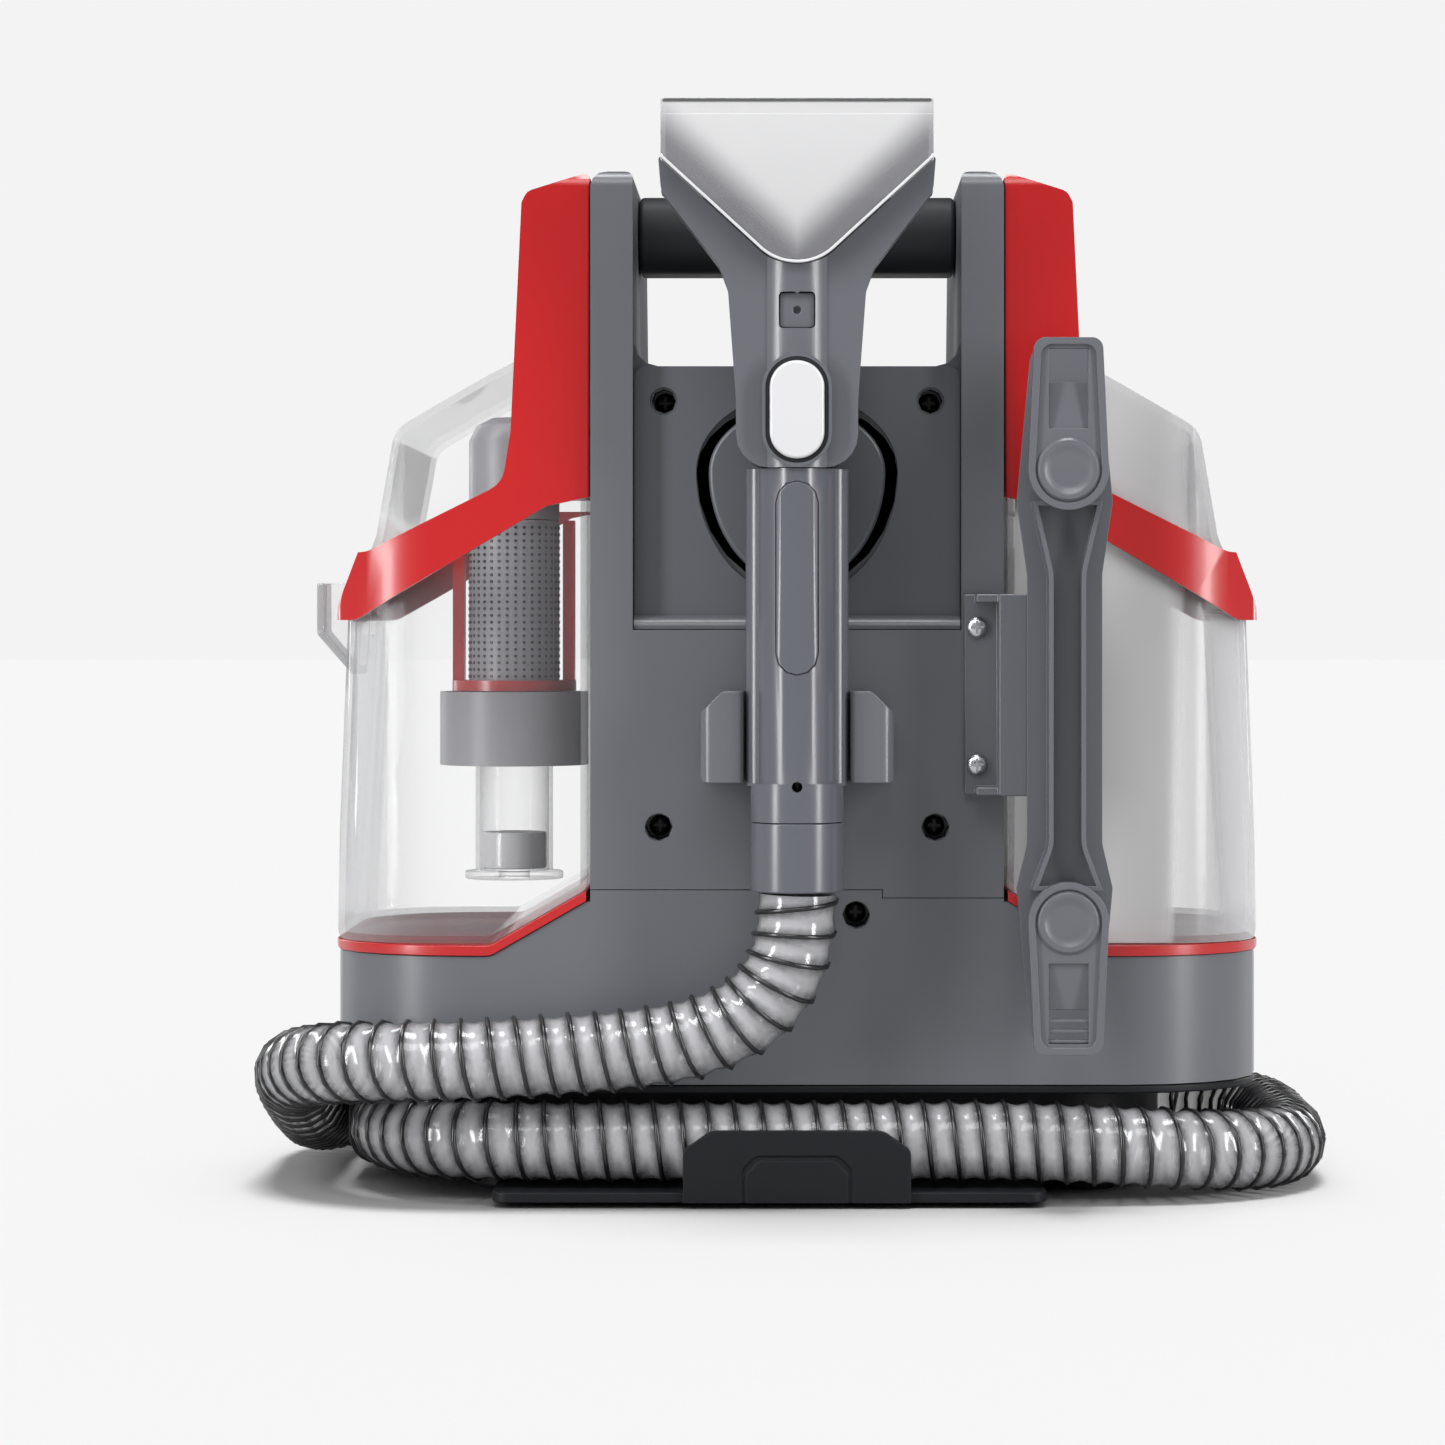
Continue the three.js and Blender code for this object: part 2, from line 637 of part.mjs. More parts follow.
function towerFront(parent, body) {
  const holes = [-screwHoles.lowX, screwHoles.lowX].map((x) => [x, seam + screwHoles.aboveSeam, front]);
  const panelHoles = [-panel.holeX, panel.holeX].map((x) => [x, panelTop - panel.holeBelowTop, panelBack]);
  const half = body.intersect(box(-far, far, -far, -gap / 2, -far, far))
    .subtract(slabY(eggOutline(egg.wall + 1), panelBack - past, panelBack + gap + shellWall + past));
  const shape = [...holes, ...panelHoles].reduce((made, [x, z, face]) => (
    made.add(bossAt(x, z, face)).subtract(bossBore(x, z, face))
  ), half);
  addPart(parent, 'tower_front', shape, greyShell);
  [...holes, ...panelHoles].forEach(([x, z, face], i) => {
    housingScrew(parent, `housing_screw_${i + 1}`, x, z, face);
  });
}

function towerBack(parent, body) {
  const inside = back - shellWall - past;
  const { halfWidth, bottom, top } = grille;
  const shape = body.intersect(box(-far, far, gap / 2, far, -far, far))
    .subtract(box(-halfWidth, halfWidth, inside, back + past, bottom, top))
    .subtract(rodY(powerButton.radius + powerButton.play, 0, powerButton.z, inside, back + past));
  addPart(parent, 'tower_back', shape, greyShell);
}

function frontPanel(parent) {
  const plate = slabY(rectangle(-holeHalf + gap, holeHalf - gap, tower.panelBottom + gap, panelTop - gap, 4),
    panelFace, panelBack);
  const bowl = slabY(eggOutline(egg.wall), panelFace, panelFace + egg.depth + egg.wall);
  const hollow = slabY(eggOutline(0), panelFace - past, panelFace + egg.depth);
  const holeZ = panelTop - panel.holeBelowTop;
  const shape = [-panel.holeX, panel.holeX].reduce((made, x) => (
    made.subtract(rodY(panel.holeRadius, x, holeZ, panelFace - past, panelBack + past))
  ), plate.add(bowl).subtract(hollow));
  addPart(parent, 'front_panel', shape, panelGrey);
}

function handleGrip(parent) {
  const top = tower.top - handle.belowTop;
  const rear = handle.front + handle.depth;
  const section = rectangle(handle.front, rear, top - handle.height, top, handle.radius);
  addPart(parent, 'handle_grip', slabX(section, -holeHalf + gap, holeHalf - gap), rubberBlack);
}

function wandCradle(parent) {
  const rear = front - gap;
  const tipY = front - cradle.reach;
  const inner = wand.railHalfWidth + cradle.play;
  const { halfWidth, chamfer } = cradle;
  const plan = [
    [-halfWidth, rear], [halfWidth, rear], [halfWidth, tipY, 5], [inner, tipY, 2],
    [inner, rear - cradle.plate], [-inner, rear - cradle.plate], [-inner, tipY, 2], [-halfWidth, tipY, 5],
  ];
  const bottom = wand.bottom + cradle.bottom;
  const top = wand.bottom + cradle.top;
  const face = [
    [-halfWidth, bottom, 2], [halfWidth, bottom, 2], [halfWidth, top - chamfer, 2],
    [halfWidth - chamfer, top, 3], [-halfWidth + chamfer, top, 3], [-halfWidth, top - chamfer, 2],
  ];
  addPart(parent, 'wand_cradle', slabZ(plan, bottom, top).intersect(slabY(face, -far, far)), toolGrey);
}

// ---------------------------------------------------------------- cord wrap

function wrapPost(parent) {
  const ends = (half, waist) => {
    const upper = wrap.upperZ - 11;
    const lower = wrap.lowerZ + 11;
    return [[-half, lower], [-waist, lower + 16, 12], [-waist, upper - wrap.flare, 12], [-half, upper]];
  };
  const strip = (half, waist) => {
    const left = ends(half, waist);
    const right = left.map(([x, z, r]) => [-x, z, r]).reverse();
    return [...right, ...left];
  };
  const tall = hook.reach - 2;
  const plateStrip = [
    [-hook.endHalfWidth, wrap.lowerZ - tall, 5], ...ends(wrap.plateHalfWidth, wrap.waistHalfWidth),
    [-hook.endHalfWidth, wrap.upperZ + tall, 5],
  ];
  const mirroredStrip = plateStrip.map(([x, z, r]) => [-x, z, r]).reverse();
  const plate = slabY([...mirroredStrip, ...plateStrip], -wrap.plate, 0);
  const tipY = -wrap.plate - wrap.column;
  const column = slabY(strip(wrap.columnHalfWidth, wrap.columnWaist), tipY, -1)
    .add(rodY(wrap.columnHalfWidth, 0, wrap.upperZ, tipY, -1))
    .add(rodY(wrap.columnHalfWidth, 0, wrap.lowerZ, tipY, -1));
  const groove = slabY(inset(strip(wrap.columnHalfWidth, wrap.columnWaist), wrap.grooveWall),
    tipY - 1, tipY + wrap.groove)
    .subtract(rodY(wrap.columnHalfWidth, 0, wrap.upperZ, tipY - 2, 0))
    .subtract(rodY(wrap.columnHalfWidth, 0, wrap.lowerZ, tipY - 2, 0));
  const bores = [wrap.upperZ, wrap.lowerZ].map((z) => (
    rodY(hook.pin + 0.5, 0, z, tipY - 1, tipY + hook.pinLength + 0.7)
  ));
  const shape = plate.add(column).subtract(groove).subtract(bores[0]).subtract(bores[1]);
  addPart(parent, 'wrap_post', shape, toolGrey);
}

// A hook about its pin at the origin, reaching up, or down where way is -1.
function wrapHook(parent, name, way, z) {
  const round = hook.radius;
  const blade = [
    [round, 0], [hook.endHalfWidth, hook.reach, 5], [-hook.endHalfWidth, hook.reach, 5], [-round, 0],
  ];
  const window = rectangle(-hook.slot, hook.slot, hook.slotFrom, hook.slotTo, 1);
  const flip = (corners) => corners.map(([x, h, r]) => [x, way * h, r]);
  const shape = slabY(flip(blade), -hook.thickness, 0)
    .add(rodY(round, 0, 0, -hook.thickness, 0))
    .add(rodY(hook.pin, 0, 0, -1, hook.pinLength))
    .subtract(slabY(flip(window), -hook.thickness - past, past));
  addPart(parent, name, shape, toolGrey).position.set(0, -wrap.plate - wrap.column - gap, z);
}

function cordWrap(parent) {
  const group = new THREE.Group();
  group.position.set(wrap.x, plateBack, 0);
  parent.add(group);
  wrapPost(group);
  wrapHook(group, 'upper_hook', 1, wrap.upperZ);
  wrapHook(group, 'lower_hook', -1, wrap.lowerZ);
}

function wrapBracket(parent) {
  const rear = front - gap;
  const armFront = plateBack + gap;
  const { left, web, thickness, bottom, top } = bracket;
  const plan = [
    [left, rear], [left, rear - thickness], [web, rear - thickness], [web, armFront],
    [bracket.tip, armFront], [bracket.tip, armFront + thickness], [web + thickness, armFront + thickness],
    [web + thickness, rear],
  ];
  const ribs = [[bottom, bottom + thickness], [top - thickness, top]];
  const screwZ = [bottom + bracket.lowScrew, top - bracket.highScrew];
  let shape = slabZ(plan, bottom, top);
  ribs.forEach(([low, high]) => {
    shape = shape.add(box(left + thickness + past, web + past, armFront + 2 * thickness, rear, low, high));
  });
  screwZ.forEach((z, i) => {
    shape = shape.subtract(rodY(boss.pilot, bracket.screwX, z, -far, far));
    const shank = rodY(screw.shankRadius, 0, 0, -0.1, thickness);
    const head = rodY(screw.headRadius, 0, 0, -screw.head, 0);
    const mesh = addPart(parent, `bracket_screw_${i + 1}`, head.add(shank), steel);
    mesh.position.set(bracket.screwX, rear - thickness - gap, z);
  });
  addPart(parent, 'wrap_bracket', shape, toolGrey);
}

// ---------------------------------------------------------------- wand and spot tool, about the wand's axis

function wandBody(parent) {
  const { gripRadius, gripForward, railHalfWidth, railFront, railBack, length, railBottom } = wand;
  const high = length - gap;
  const rails = slabZ(rectangle(-railHalfWidth, railHalfWidth, -railFront, railBack, 5), railBottom, high);
  const grip = rodZ(gripRadius, 0, -gripForward, railBottom - past, high);
  const collar = rodZ(cuff.radius, 0, 0, gap / 2, railBottom + past);
  const spigot = rodZ(wand.spigotRadius, 0, 1, length - 5, length + wand.spigotLength);
  const bore = rodZ(wand.boreRadius, 0, -wand.boreForward, -past, length - 4);
  const half = trigger.halfWidth + trigger.play;
  const pivotZ = length - trigger.belowTop;
  const leverSlot = box(-half, half, 3, far, pivotZ - trigger.drop - 8, pivotZ + 6);
  const pocket = slabY(padOutline(gap), -gripRadius - gripForward - past, -5)
    .subtract(rodZ(gripRadius - pad.depth, 0, -gripForward, 0, far));
  const hole = rodY(wand.tetherHole, 0, railBottom, -far, -8);
  const shape = rails.add(grip).add(collar).subtract(bore).add(spigot)
    .subtract(leverSlot)
    .subtract(pocket)
    .subtract(hole);
  addPart(parent, 'wand_body', shape, wandGrey);
}

function padOutline(grow) {
  const half = pad.halfWidth + grow;
  return rectangle(-half, half, pad.bottom - grow, pad.top + grow, half);
}

function gripPad(parent) {
  const middle = -wand.gripForward;
  const skin = rodZ(wand.gripRadius + pad.proud, 0, middle, 0, far)
    .subtract(rodZ(wand.gripRadius - pad.depth + gap, 0, middle, -past, far + past));
  const reach = wand.gripRadius + wand.gripForward;
  addPart(parent, 'grip_pad', slabY(padOutline(0), -reach - past, -5).intersect(skin), rubberBlack);
}

function hoseCuff(parent) {
  const { bore, radius, length } = cuff;
  addPart(parent, 'hose_cuff', ring(bore, radius, -length, -gap / 2, 0, 0, 20), wandGrey);
}

// The lever about its pivot at the origin, its tip low and towards the tower.
function triggerLever(parent) {
  const out = trigger.tipY - trigger.pivotY;
  const low = -trigger.drop;
  const thick = trigger.thickness;
  const side = [[-3, 4, 3], [-3, -6, 2], [out - thick, low, 2], [out, low, 3], [out, low + 16, 8], [3, 4, 3]];
  const mesh = addPart(parent, 'trigger', slabX(side, -trigger.halfWidth, trigger.halfWidth), rubberBlack);
  mesh.position.set(0, trigger.pivotY, wand.length - trigger.belowTop);
}

function toolOutline() {
  const { neckHalfWidth, neckTop, topHalfWidth, top, vHalfWidth, vTop, vApex } = tool;
  const half = [
    [neckHalfWidth, 0, 16], [neckHalfWidth, 24], [neckHalfWidth + 2.9, neckTop, 12],
    [neckHalfWidth + 6, neckTop + 8.3, 10], [topHalfWidth - 1, top - 12.2, 6], [topHalfWidth, top, 1],
    [vHalfWidth, top, 1], [vHalfWidth, vTop, 1],
  ];
  return [...half, [0, vApex], ...half.map(([x, z, r]) => [-x, z, r]).reverse()];
}

function toolBody(parent) {
  const { front: toolFront, back: toolBack, backTop, frontTop, thinFrom } = tool;
  const thinBack = nozzle.back + 3;
  const side = [
    [-toolFront, -past], [toolBack, -past], [toolBack, backTop, 20], [thinBack, thinFrom, 20],
    [thinBack, far], [-nozzle.front, far], [-nozzle.front, thinFrom, 20], [-toolFront, frontTop, 20],
  ];
  const pocketFront = -toolFront - past;
  const { halfSide, z, recess } = tip;
  const shape = slabY(toolOutline(), -far, far).intersect(slabX(side, -far, far))
    .subtract(rodZ(wand.spigotRadius + wand.spigotPlay, 0, 1, -past, wand.spigotLength + past))
    .subtract(slabY(buttonOutline(button.play), pocketFront, -toolFront + button.thickness + 1))
    .subtract(slabY(rectangle(-halfSide, halfSide, z - halfSide, z + halfSide, 1.5), pocketFront,
      -toolFront + recess));
  addPart(parent, 'tool_body', shape, toolGrey);
}

function buttonOutline(grow) {
  const half = button.halfWidth + grow;
  return rectangle(-half, half, button.bottom - grow, button.top + grow, half - 1);
}

function releaseButton(parent) {
  const rear = -tool.front + button.thickness + 1 - button.travel - gap;
  addPart(parent, 'release_button', slabY(buttonOutline(0), rear - button.thickness, rear), white);
}

function sprayTip(parent) {
  const side = tip.halfSide - gap;
  const rear = -tool.front + tip.recess - gap;
  const block = slabY(rectangle(-side, side, tip.z - side, tip.z + side, 1.2), rear - tip.thickness, rear)
    .subtract(rodY(tip.bore, 0, tip.z, -far, rear - 1));
  addPart(parent, 'spray_tip', block, toolGrey);
}

function nozzleWindow(parent) {
  const { halfWidth, wall, front: windowFront, back: windowBack } = nozzle;
  const low = tool.top + 1;
  const high = tool.top + nozzle.rise;
  const inner = tool.vHalfWidth - 2 * gap;
  const shoulder = tool.vTop + 2 * gap;
  const corners = [
    [0, tool.vApex + 3 * gap], [inner, shoulder], [inner, low], [halfWidth, low, 1], [halfWidth, high, 1],
    [-halfWidth, high, 1], [-halfWidth, low, 1], [-inner, low], [-inner, shoulder],
  ];
  const mouth = halfWidth - wall;
  const near = -windowFront + wall;
  const deep = windowBack - wall;
  const hollow = slabY(inset(corners, wall), near, deep).add(box(-mouth, mouth, near, deep, high - 5, far));
  addPart(parent, 'nozzle_window', slabY(corners, -windowFront, windowBack).subtract(hollow), clear);
}

function wandAndTool(parent) {
  const group = new THREE.Group();
  group.position.set(0, wandY, wand.bottom);
  parent.add(group);
  wandBody(group);
  gripPad(group);
  hoseCuff(group);
  triggerLever(group);
  const toolGroup = new THREE.Group();
  toolGroup.position.z = wand.length;
  group.add(toolGroup);
  toolBody(toolGroup);
  releaseButton(toolGroup);
  sprayTip(toolGroup);
  nozzleWindow(toolGroup);
}

// ---------------------------------------------------------------- tanks

function tankShell(side) {
  return tankBlock(side, 0).subtract(tankBlock(side, -tank.wall));
}

function tankFrame(parent, name, side) {
  const inner = tower.halfWidth + frame.towerGap;
  const level = base.seatTop + tank.shoulders[0][1];
  const outside = tankFootX + 20;
  const band = mirrored([
    [inner, level + 41, 1], [inner + 16, level + 37.7, 2], [tankFootX - 10, level - 4, 8],
    [outside, level - 4], [outside, level + 21], [tankFootX - 14, level + 21, 10],
    [inner + 54, level + 35, 8],
    [inner + frame.uprightFoot + 3, level + 46, 10], [inner + frame.uprightFoot, level + 65, 8],
    [inner + frame.uprightTop + 2, tower.top - frame.outerDrop - 4, 2],
    [inner + frame.uprightTop, tower.top - frame.outerDrop, 4], [inner, tower.top, 2],
  ], side);
  const grown = frame.thickness + gap;
  const aboveTank = mirrored(rectangle(inner, inner + frame.uprightFoot + 6, level + 38, far), side);
  const skin = slabY(inset(tankProfile(side), -grown), -far, far).add(slabY(aboveTank, -far, far));
  const faceY = back - tank.setIn + grown;
  const cornerX = tankFootX + grown;
  const round = tank.cornerRadius + grown;
  const plan = mirrored([
    [inner, -faceY, 1], [cornerX, -faceY, round], [cornerX, faceY, round], [inner, faceY, 1],
  ], side);
  const lean = slabX(sideOutline(tank.setIn - grown), -far, far);
  const hollowOuter = inner + frame.uprightTop - frame.capWall;
  const hollowTop = tower.top - frame.outerDrop - frame.capWall;
  const underCap = mirrored(rectangle(inner + frame.capWall, hollowOuter, tankTop - 18, hollowTop, 3), side);
  const capLean = slabX(sideOutline(tank.setIn, hollowTop), -far, far);
  const capHollow = slabY(underCap, -far, far).intersect(capLean);
  let shape = slabY(band, -far, far).intersect(skin).intersect(slabZ(plan, 0, far)).intersect(lean)
    .subtract(tankBlock(side, gap))
    .subtract(capHollow);
  if (side < 0) {
    const notch = spout.halfWidth + 2 * gap;
    shape = shape.subtract(box(-far, -tankFootX + 30, -notch, notch, 0, spoutTop + 2));
  }
  addPart(parent, name, shape, red);
}

function dirtyTank(parent) {
  const half = spout.halfWidth - slot.narrower;
  const portZ = base.seatTop + port.height;
  const slotEnd = -tankFootX + 20;
  const shape = tankShell(-1)
    .subtract(rodX(port.radius, 0, portZ, -innerX - tank.wall - past, -innerX + past))
    .subtract(box(-tankFootX - past, slotEnd, -half, half, spoutTop - slot.low, spoutTop - slot.high));
  addPart(parent, 'dirty_tank', shape, clear);
}

function cleanTank(parent) {
  const shape = tankShell(1).subtract(rodZ(cap.neckRadius + 0.5, capX, 0, 0, tankBottom + tank.wall + past));
  addPart(parent, 'clean_tank', shape, smoke);
}

function cleanCap(parent) {
  const low = -cap.height;
  const shape = turned([
    [cap.bore, low], [cap.radius - 1, low], [cap.radius, low + 1], [cap.radius, -gap], [cap.neckRadius, -gap],
    [cap.neckRadius, cap.neck], [cap.bore, cap.neck], [cap.bore, low],
  ], 0, 0, 20);
  addPart(parent, 'clean_cap', shape, rubberBlack).position.set(capX, 0, tankBottom);
}

// The separator column inside the dirty tank, about its own axis and above the seat.
function separatorParts(parent) {
  const group = new THREE.Group();
  group.position.set(-separatorX, 0, base.seatTop);
  parent.add(group);
  const { radius, wall, capTop, capBottom, screenBottom } = separator;
  const portEnd = separatorX - innerX - tank.wall - gap;
  const dome = turned([
    [0, capBottom], [radius, capBottom], [radius, capTop - 9], [radius - 3, capTop - 3], [radius - 9, capTop],
    [0, capTop],
  ], 0, 0);
  const neck = rodX(port.radius + port.wall, 0, port.height, 0, portEnd);
  const passage = rodX(port.radius, 0, port.height, 0, portEnd + past)
    .add(rodZ(port.radius, 0, 0, capBottom - past, port.height));
  addPart(group, 'separator_cap', dome.add(neck).subtract(passage), separatorGrey);

  const screen = ring(radius - wall, radius, screenBottom, capBottom - gap, 0, 0);
  addPart(group, 'separator_screen', screen, separatorGrey);

  const { railOut, railHalfWidth } = separator;
  let rails = ring(radius + gap, railOut, screenBottom, screenBottom + 4, 0, 0);
  [-1, 1].forEach((side) => {
    const [low, high] = [side * (radius + 1.5), side * (railOut - 0.5)].sort((a, b) => a - b);
    rails = rails.add(box(low, high, -railHalfWidth, railHalfWidth, screenBottom + 1, capBottom - gap));
  });
  addPart(group, 'separator_rails', rails, red);

  const { cupRadius, cupBottom, cageRadius, cageWall, cageBottom } = separator;
  const { cageFlange, cageFloor, cageHole } = separator;
  const cupTop = screenBottom - gap;
  const hole = cageRadius - 4;
  const cup = turned([
    [hole, cupBottom], [cupRadius, cupBottom], [cupRadius, cupTop], [cupRadius - wall, cupTop],
    [cupRadius - wall, cupBottom + wall], [hole, cupBottom + wall], [hole, cupBottom],
  ], 0, 0);
  addPart(group, 'separator_cup', cup, separatorGrey);

  const floor = cageBottom + cageFloor;
  const cageTop = cupBottom - gap;
  const cage = turned([
    [cageHole, cageBottom], [cageFlange, cageBottom], [cageFlange, floor], [cageRadius, floor],
    [cageRadius, cageTop], [cageRadius - cageWall, cageTop], [cageRadius - cageWall, floor],
    [cageHole, floor], [cageHole, cageBottom],
  ], 0, 0, 16);
  addPart(group, 'float_cage', cage, clear);

  const floatBottom = cageBottom + float.lift;
  const floatRadius = cageRadius - cageWall - float.play;
  addPart(group, 'float', rodZ(floatRadius, 0, 0, floatBottom, floatBottom + float.height), separatorGrey);
}

function pourSpout(parent) {
  const { halfWidth, wall, rim } = spout;
  const corner = base.seatTop + spout.corner;
  const bottom = base.seatTop + spout.bottom;
  const outerX = -tankFootX + rim - spout.reach;
  const footing = -tankFootX + 2;
  const innerEnd = -tankFootX + 12;
  const side = [
    [innerEnd, spoutTop], [outerX, spoutTop], [outerX, corner, 2], [footing, bottom], [innerEnd, bottom],
  ];
  const inside = [
    [innerEnd + past, spoutTop + past], [outerX + wall, spoutTop + past], [outerX + wall, corner + 1],
    [footing, bottom + rim], [innerEnd + past, bottom + rim],
  ];
  const hollow = slabY(inside, -halfWidth + wall, halfWidth - wall);
  const shape = slabY(side, -halfWidth, halfWidth).subtract(hollow).subtract(tankBlock(-1, gap));
  addPart(parent, 'spout', shape, clear);
}

// The flap about its hinge at the top edge.
function spoutFlap(parent) {
  const half = spout.halfWidth - spout.wall - flap.play;
  const plate = box(-flap.thickness, 0, -half, half, -flap.height, 0)
    .add(rodY(flap.pin, -flap.thickness / 2, 0, -half, half));
  addPart(parent, 'spout_flap', plate, red).position.set(-tankFootX + flap.inwards, 0, spoutTop - 1);
}

// ---------------------------------------------------------------- inner works

function motorAndShaft(parent) {
  const { y, radius, bottom, shoulder, top, topRadius, shaft, shaftPlay, bearing } = motor;
  const bore = shaft + shaftPlay;
  const can = turned([
    [0, bottom], [radius, bottom], [radius, shoulder], [topRadius, shoulder + 4], [topRadius, top],
    [bore, top], [bore, top - bearing], [0, top - bearing],
  ], 0, y);
  addPart(parent, 'motor', can, steel);
  const shaftTop = fan.top - fan.wheelClear - shellWall;
  addPart(parent, 'motor_shaft', rodZ(shaft, 0, y, top - bearing + 1, shaftTop), steel);
}

function suctionFan(parent) {
  const { bottom, top, radius, inlet, wheelRadius, wheelClear, plate, hub, blades, outletHalfWidth } = fan;
  const { shaft, shaftPlay, y } = motor;
  const inside = radius - shellWall;
  const scroll = turned([
    [2 * shaft, bottom], [radius, bottom], [radius, top], [inlet, top], [inlet, top - shellWall],
    [inside, top - shellWall], [inside, bottom + shellWall], [2 * shaft, bottom + shellWall],
    [2 * shaft, bottom],
  ], 0, y);
  const outletBack = y + radius + past;
  const outlet = box(-outletHalfWidth, outletHalfWidth, y + radius / 2, outletBack, bottom + 7, top - 7);
  addPart(parent, 'fan_housing', scroll.subtract(outlet), darkShell);

  const low = bottom + wheelClear;
  const high = top - wheelClear;
  const bore = shaft + shaftPlay;
  let wheel = ring(bore, wheelRadius, low, low + plate, 0, 0, 20)
    .add(ring(inlet, wheelRadius, high - plate, high, 0, 0, 20))
    .add(ring(bore, hub, low, high - 2 * plate, 0, 0, 12));
  for (let i = 0; i < blades; i += 1) {
    const blade = new THREE.BoxGeometry(wheelRadius - inlet - 1, plate, high - low - plate)
      .translate((wheelRadius + inlet) / 2, 0, (low + high) / 2)
      .rotateZ((2 * Math.PI * i) / blades);
    wheel = wheel.add(solid(blade));
  }
  addPart(parent, 'fan_impeller', wheel, steel).position.set(0, y, 0);
}

// From the air port in the tower's side, bending down to the fan's inlet.
function suctionDuct(parent) {
  const start = -tower.halfWidth + shellWall + gap;
  const z = base.seatTop + port.height;
  const bend = [
    [start, 0, z], [-50, 0, z], [-20, 3, z - 14], [-2, 8, z - 45], [0, motor.y, z - 70],
    [0, motor.y, fan.top + gap],
  ];
  addPart(parent, 'suction_duct', tube(bend, duct.radius, duct.radius - duct.wall, 10, 10), darkShell);
}

function waterPump(parent) {
  const motorEnd = pan.halfWidth - pan.wall - pump.sideClear;
  const right = motorEnd - pump.motorLength;
  const left = right - pump.length;
  const middle = (pump.front + pump.back) / 2;
  const body = slabZ(rectangle(left, right, pump.front, pump.back, 5), pump.bottom, pump.top)
    .add(rodX(pump.motorRadius, middle, pumpTube.z, right - past, motorEnd));
  addPart(parent, 'water_pump', body, darkShell);
  const tubeEnd = -pan.halfWidth + pan.wall + gap;
  const { z } = pumpTube;
  const run = [[left - gap, middle, z], [30, middle, z], [-30, 0, z], [-90, -20, z], [tubeEnd, -22, z]];
  addPart(parent, 'pump_tube', tube(run, pumpTube.radius, 0, 6, 12), clear);
}

function powerSwitch(parent) {
  const { radius, z, proud, flange, flangeWidth } = powerButton;
  const inside = -shellWall - gap;
  const rim = rodY(radius + flangeWidth, 0, 0, inside - flange, inside);
  const shape = rodY(radius, 0, 0, inside, proud).add(rim);
  addPart(parent, 'power_button', shape, rubberBlack).position.set(0, back, z);
}

function exhaustGrille(parent) {
  const { halfWidth, bottom, top, slots, slot: height, border } = grille;
  const pitch = (top - bottom) / (slots + 1);
  const slotHalf = halfWidth - border;
  const inside = back - shellWall;
  let shape = box(-halfWidth + gap, halfWidth - gap, inside, back, bottom + gap, top - gap);
  for (let i = 1; i <= slots; i += 1) {
    const low = bottom + pitch * i - height / 2;
    shape = shape.subtract(box(-slotHalf, slotHalf, inside - past, back + past, low, low + height));
  }
  addPart(parent, 'exhaust_grille', shape, darkShell);
}

// ---------------------------------------------------------------- assembly

function buildMachine() {
  const machine = new THREE.Group();
  baseShell(machine);
  bottomPan(machine);
  hoseClip(machine);
  feet(machine);
  tankSeat(machine, 'seat_trim_left', -1);
  tankSeat(machine, 'seat_trim_right', 1);
  hoseConnection(machine);
  housingScrew(machine, 'housing_screw_5', screwHoles.baseX, seam - screwHoles.belowSeam, front);

  const body = towerBody();
  towerFront(machine, body);
  towerBack(machine, body);
  frontPanel(machine);
  handleGrip(machine);
  wandCradle(machine);
  wrapBracket(machine);
  cordWrap(machine);
  powerSwitch(machine);
  exhaustGrille(machine);

  motorAndShaft(machine);
  suctionFan(machine);
  suctionDuct(machine);
  waterPump(machine);

  wandAndTool(machine);
  dirtyTank(machine);
  tankFrame(machine, 'dirty_frame', -1);
  separatorParts(machine);
  pourSpout(machine);
  spoutFlap(machine);
  cleanTank(machine);
  tankFrame(machine, 'clean_frame', 1);
  cleanCap(machine);
  return machine;
}

// The part's origin is under the middle of the machine, on the surface that it stands on. The hose is
// added after that place is found, because it lies free.
const machine = buildMachine();
const middle = new THREE.Box3().setFromObject(machine, true).getCenter(new THREE.Vector3());
addPart(machine, 'hose', tube(hoseRoute, hose.radius, 0, hose.sides, hose.steps), hoseClear);
machine.position.set(-middle.x, -middle.y, 0);

const part = new THREE.Group();
part.add(machine);

export default part;
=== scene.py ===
"""Finished surfaces of a portable carpet cleaner, built round its fixed CAD frame.

Metres. +Z is up and the side with the stored wand faces -Y.
"""

import json
import math

import bmesh
import bpy
from bpy.props import FloatProperty, FloatVectorProperty, PointerProperty
from mathutils import Matrix, Vector


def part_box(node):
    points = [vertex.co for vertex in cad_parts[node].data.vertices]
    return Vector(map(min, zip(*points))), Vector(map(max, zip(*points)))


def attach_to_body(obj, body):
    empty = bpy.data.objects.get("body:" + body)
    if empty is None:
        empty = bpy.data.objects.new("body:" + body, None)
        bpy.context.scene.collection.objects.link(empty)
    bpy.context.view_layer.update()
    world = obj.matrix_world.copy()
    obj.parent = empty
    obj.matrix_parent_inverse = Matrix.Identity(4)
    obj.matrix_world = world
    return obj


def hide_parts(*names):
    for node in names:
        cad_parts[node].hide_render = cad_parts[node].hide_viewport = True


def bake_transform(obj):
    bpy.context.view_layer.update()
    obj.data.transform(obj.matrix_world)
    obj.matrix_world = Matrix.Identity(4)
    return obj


bl_info = {
    "name": "Carpet cleaner",
    "version": (1, 0, 0),
    "blender": (4, 5, 0),
    "location": "3D View > Sidebar > Carpet cleaner",
    "description": "Builds the finished surfaces of a portable carpet cleaner round its frame",
    "category": "Object",
}

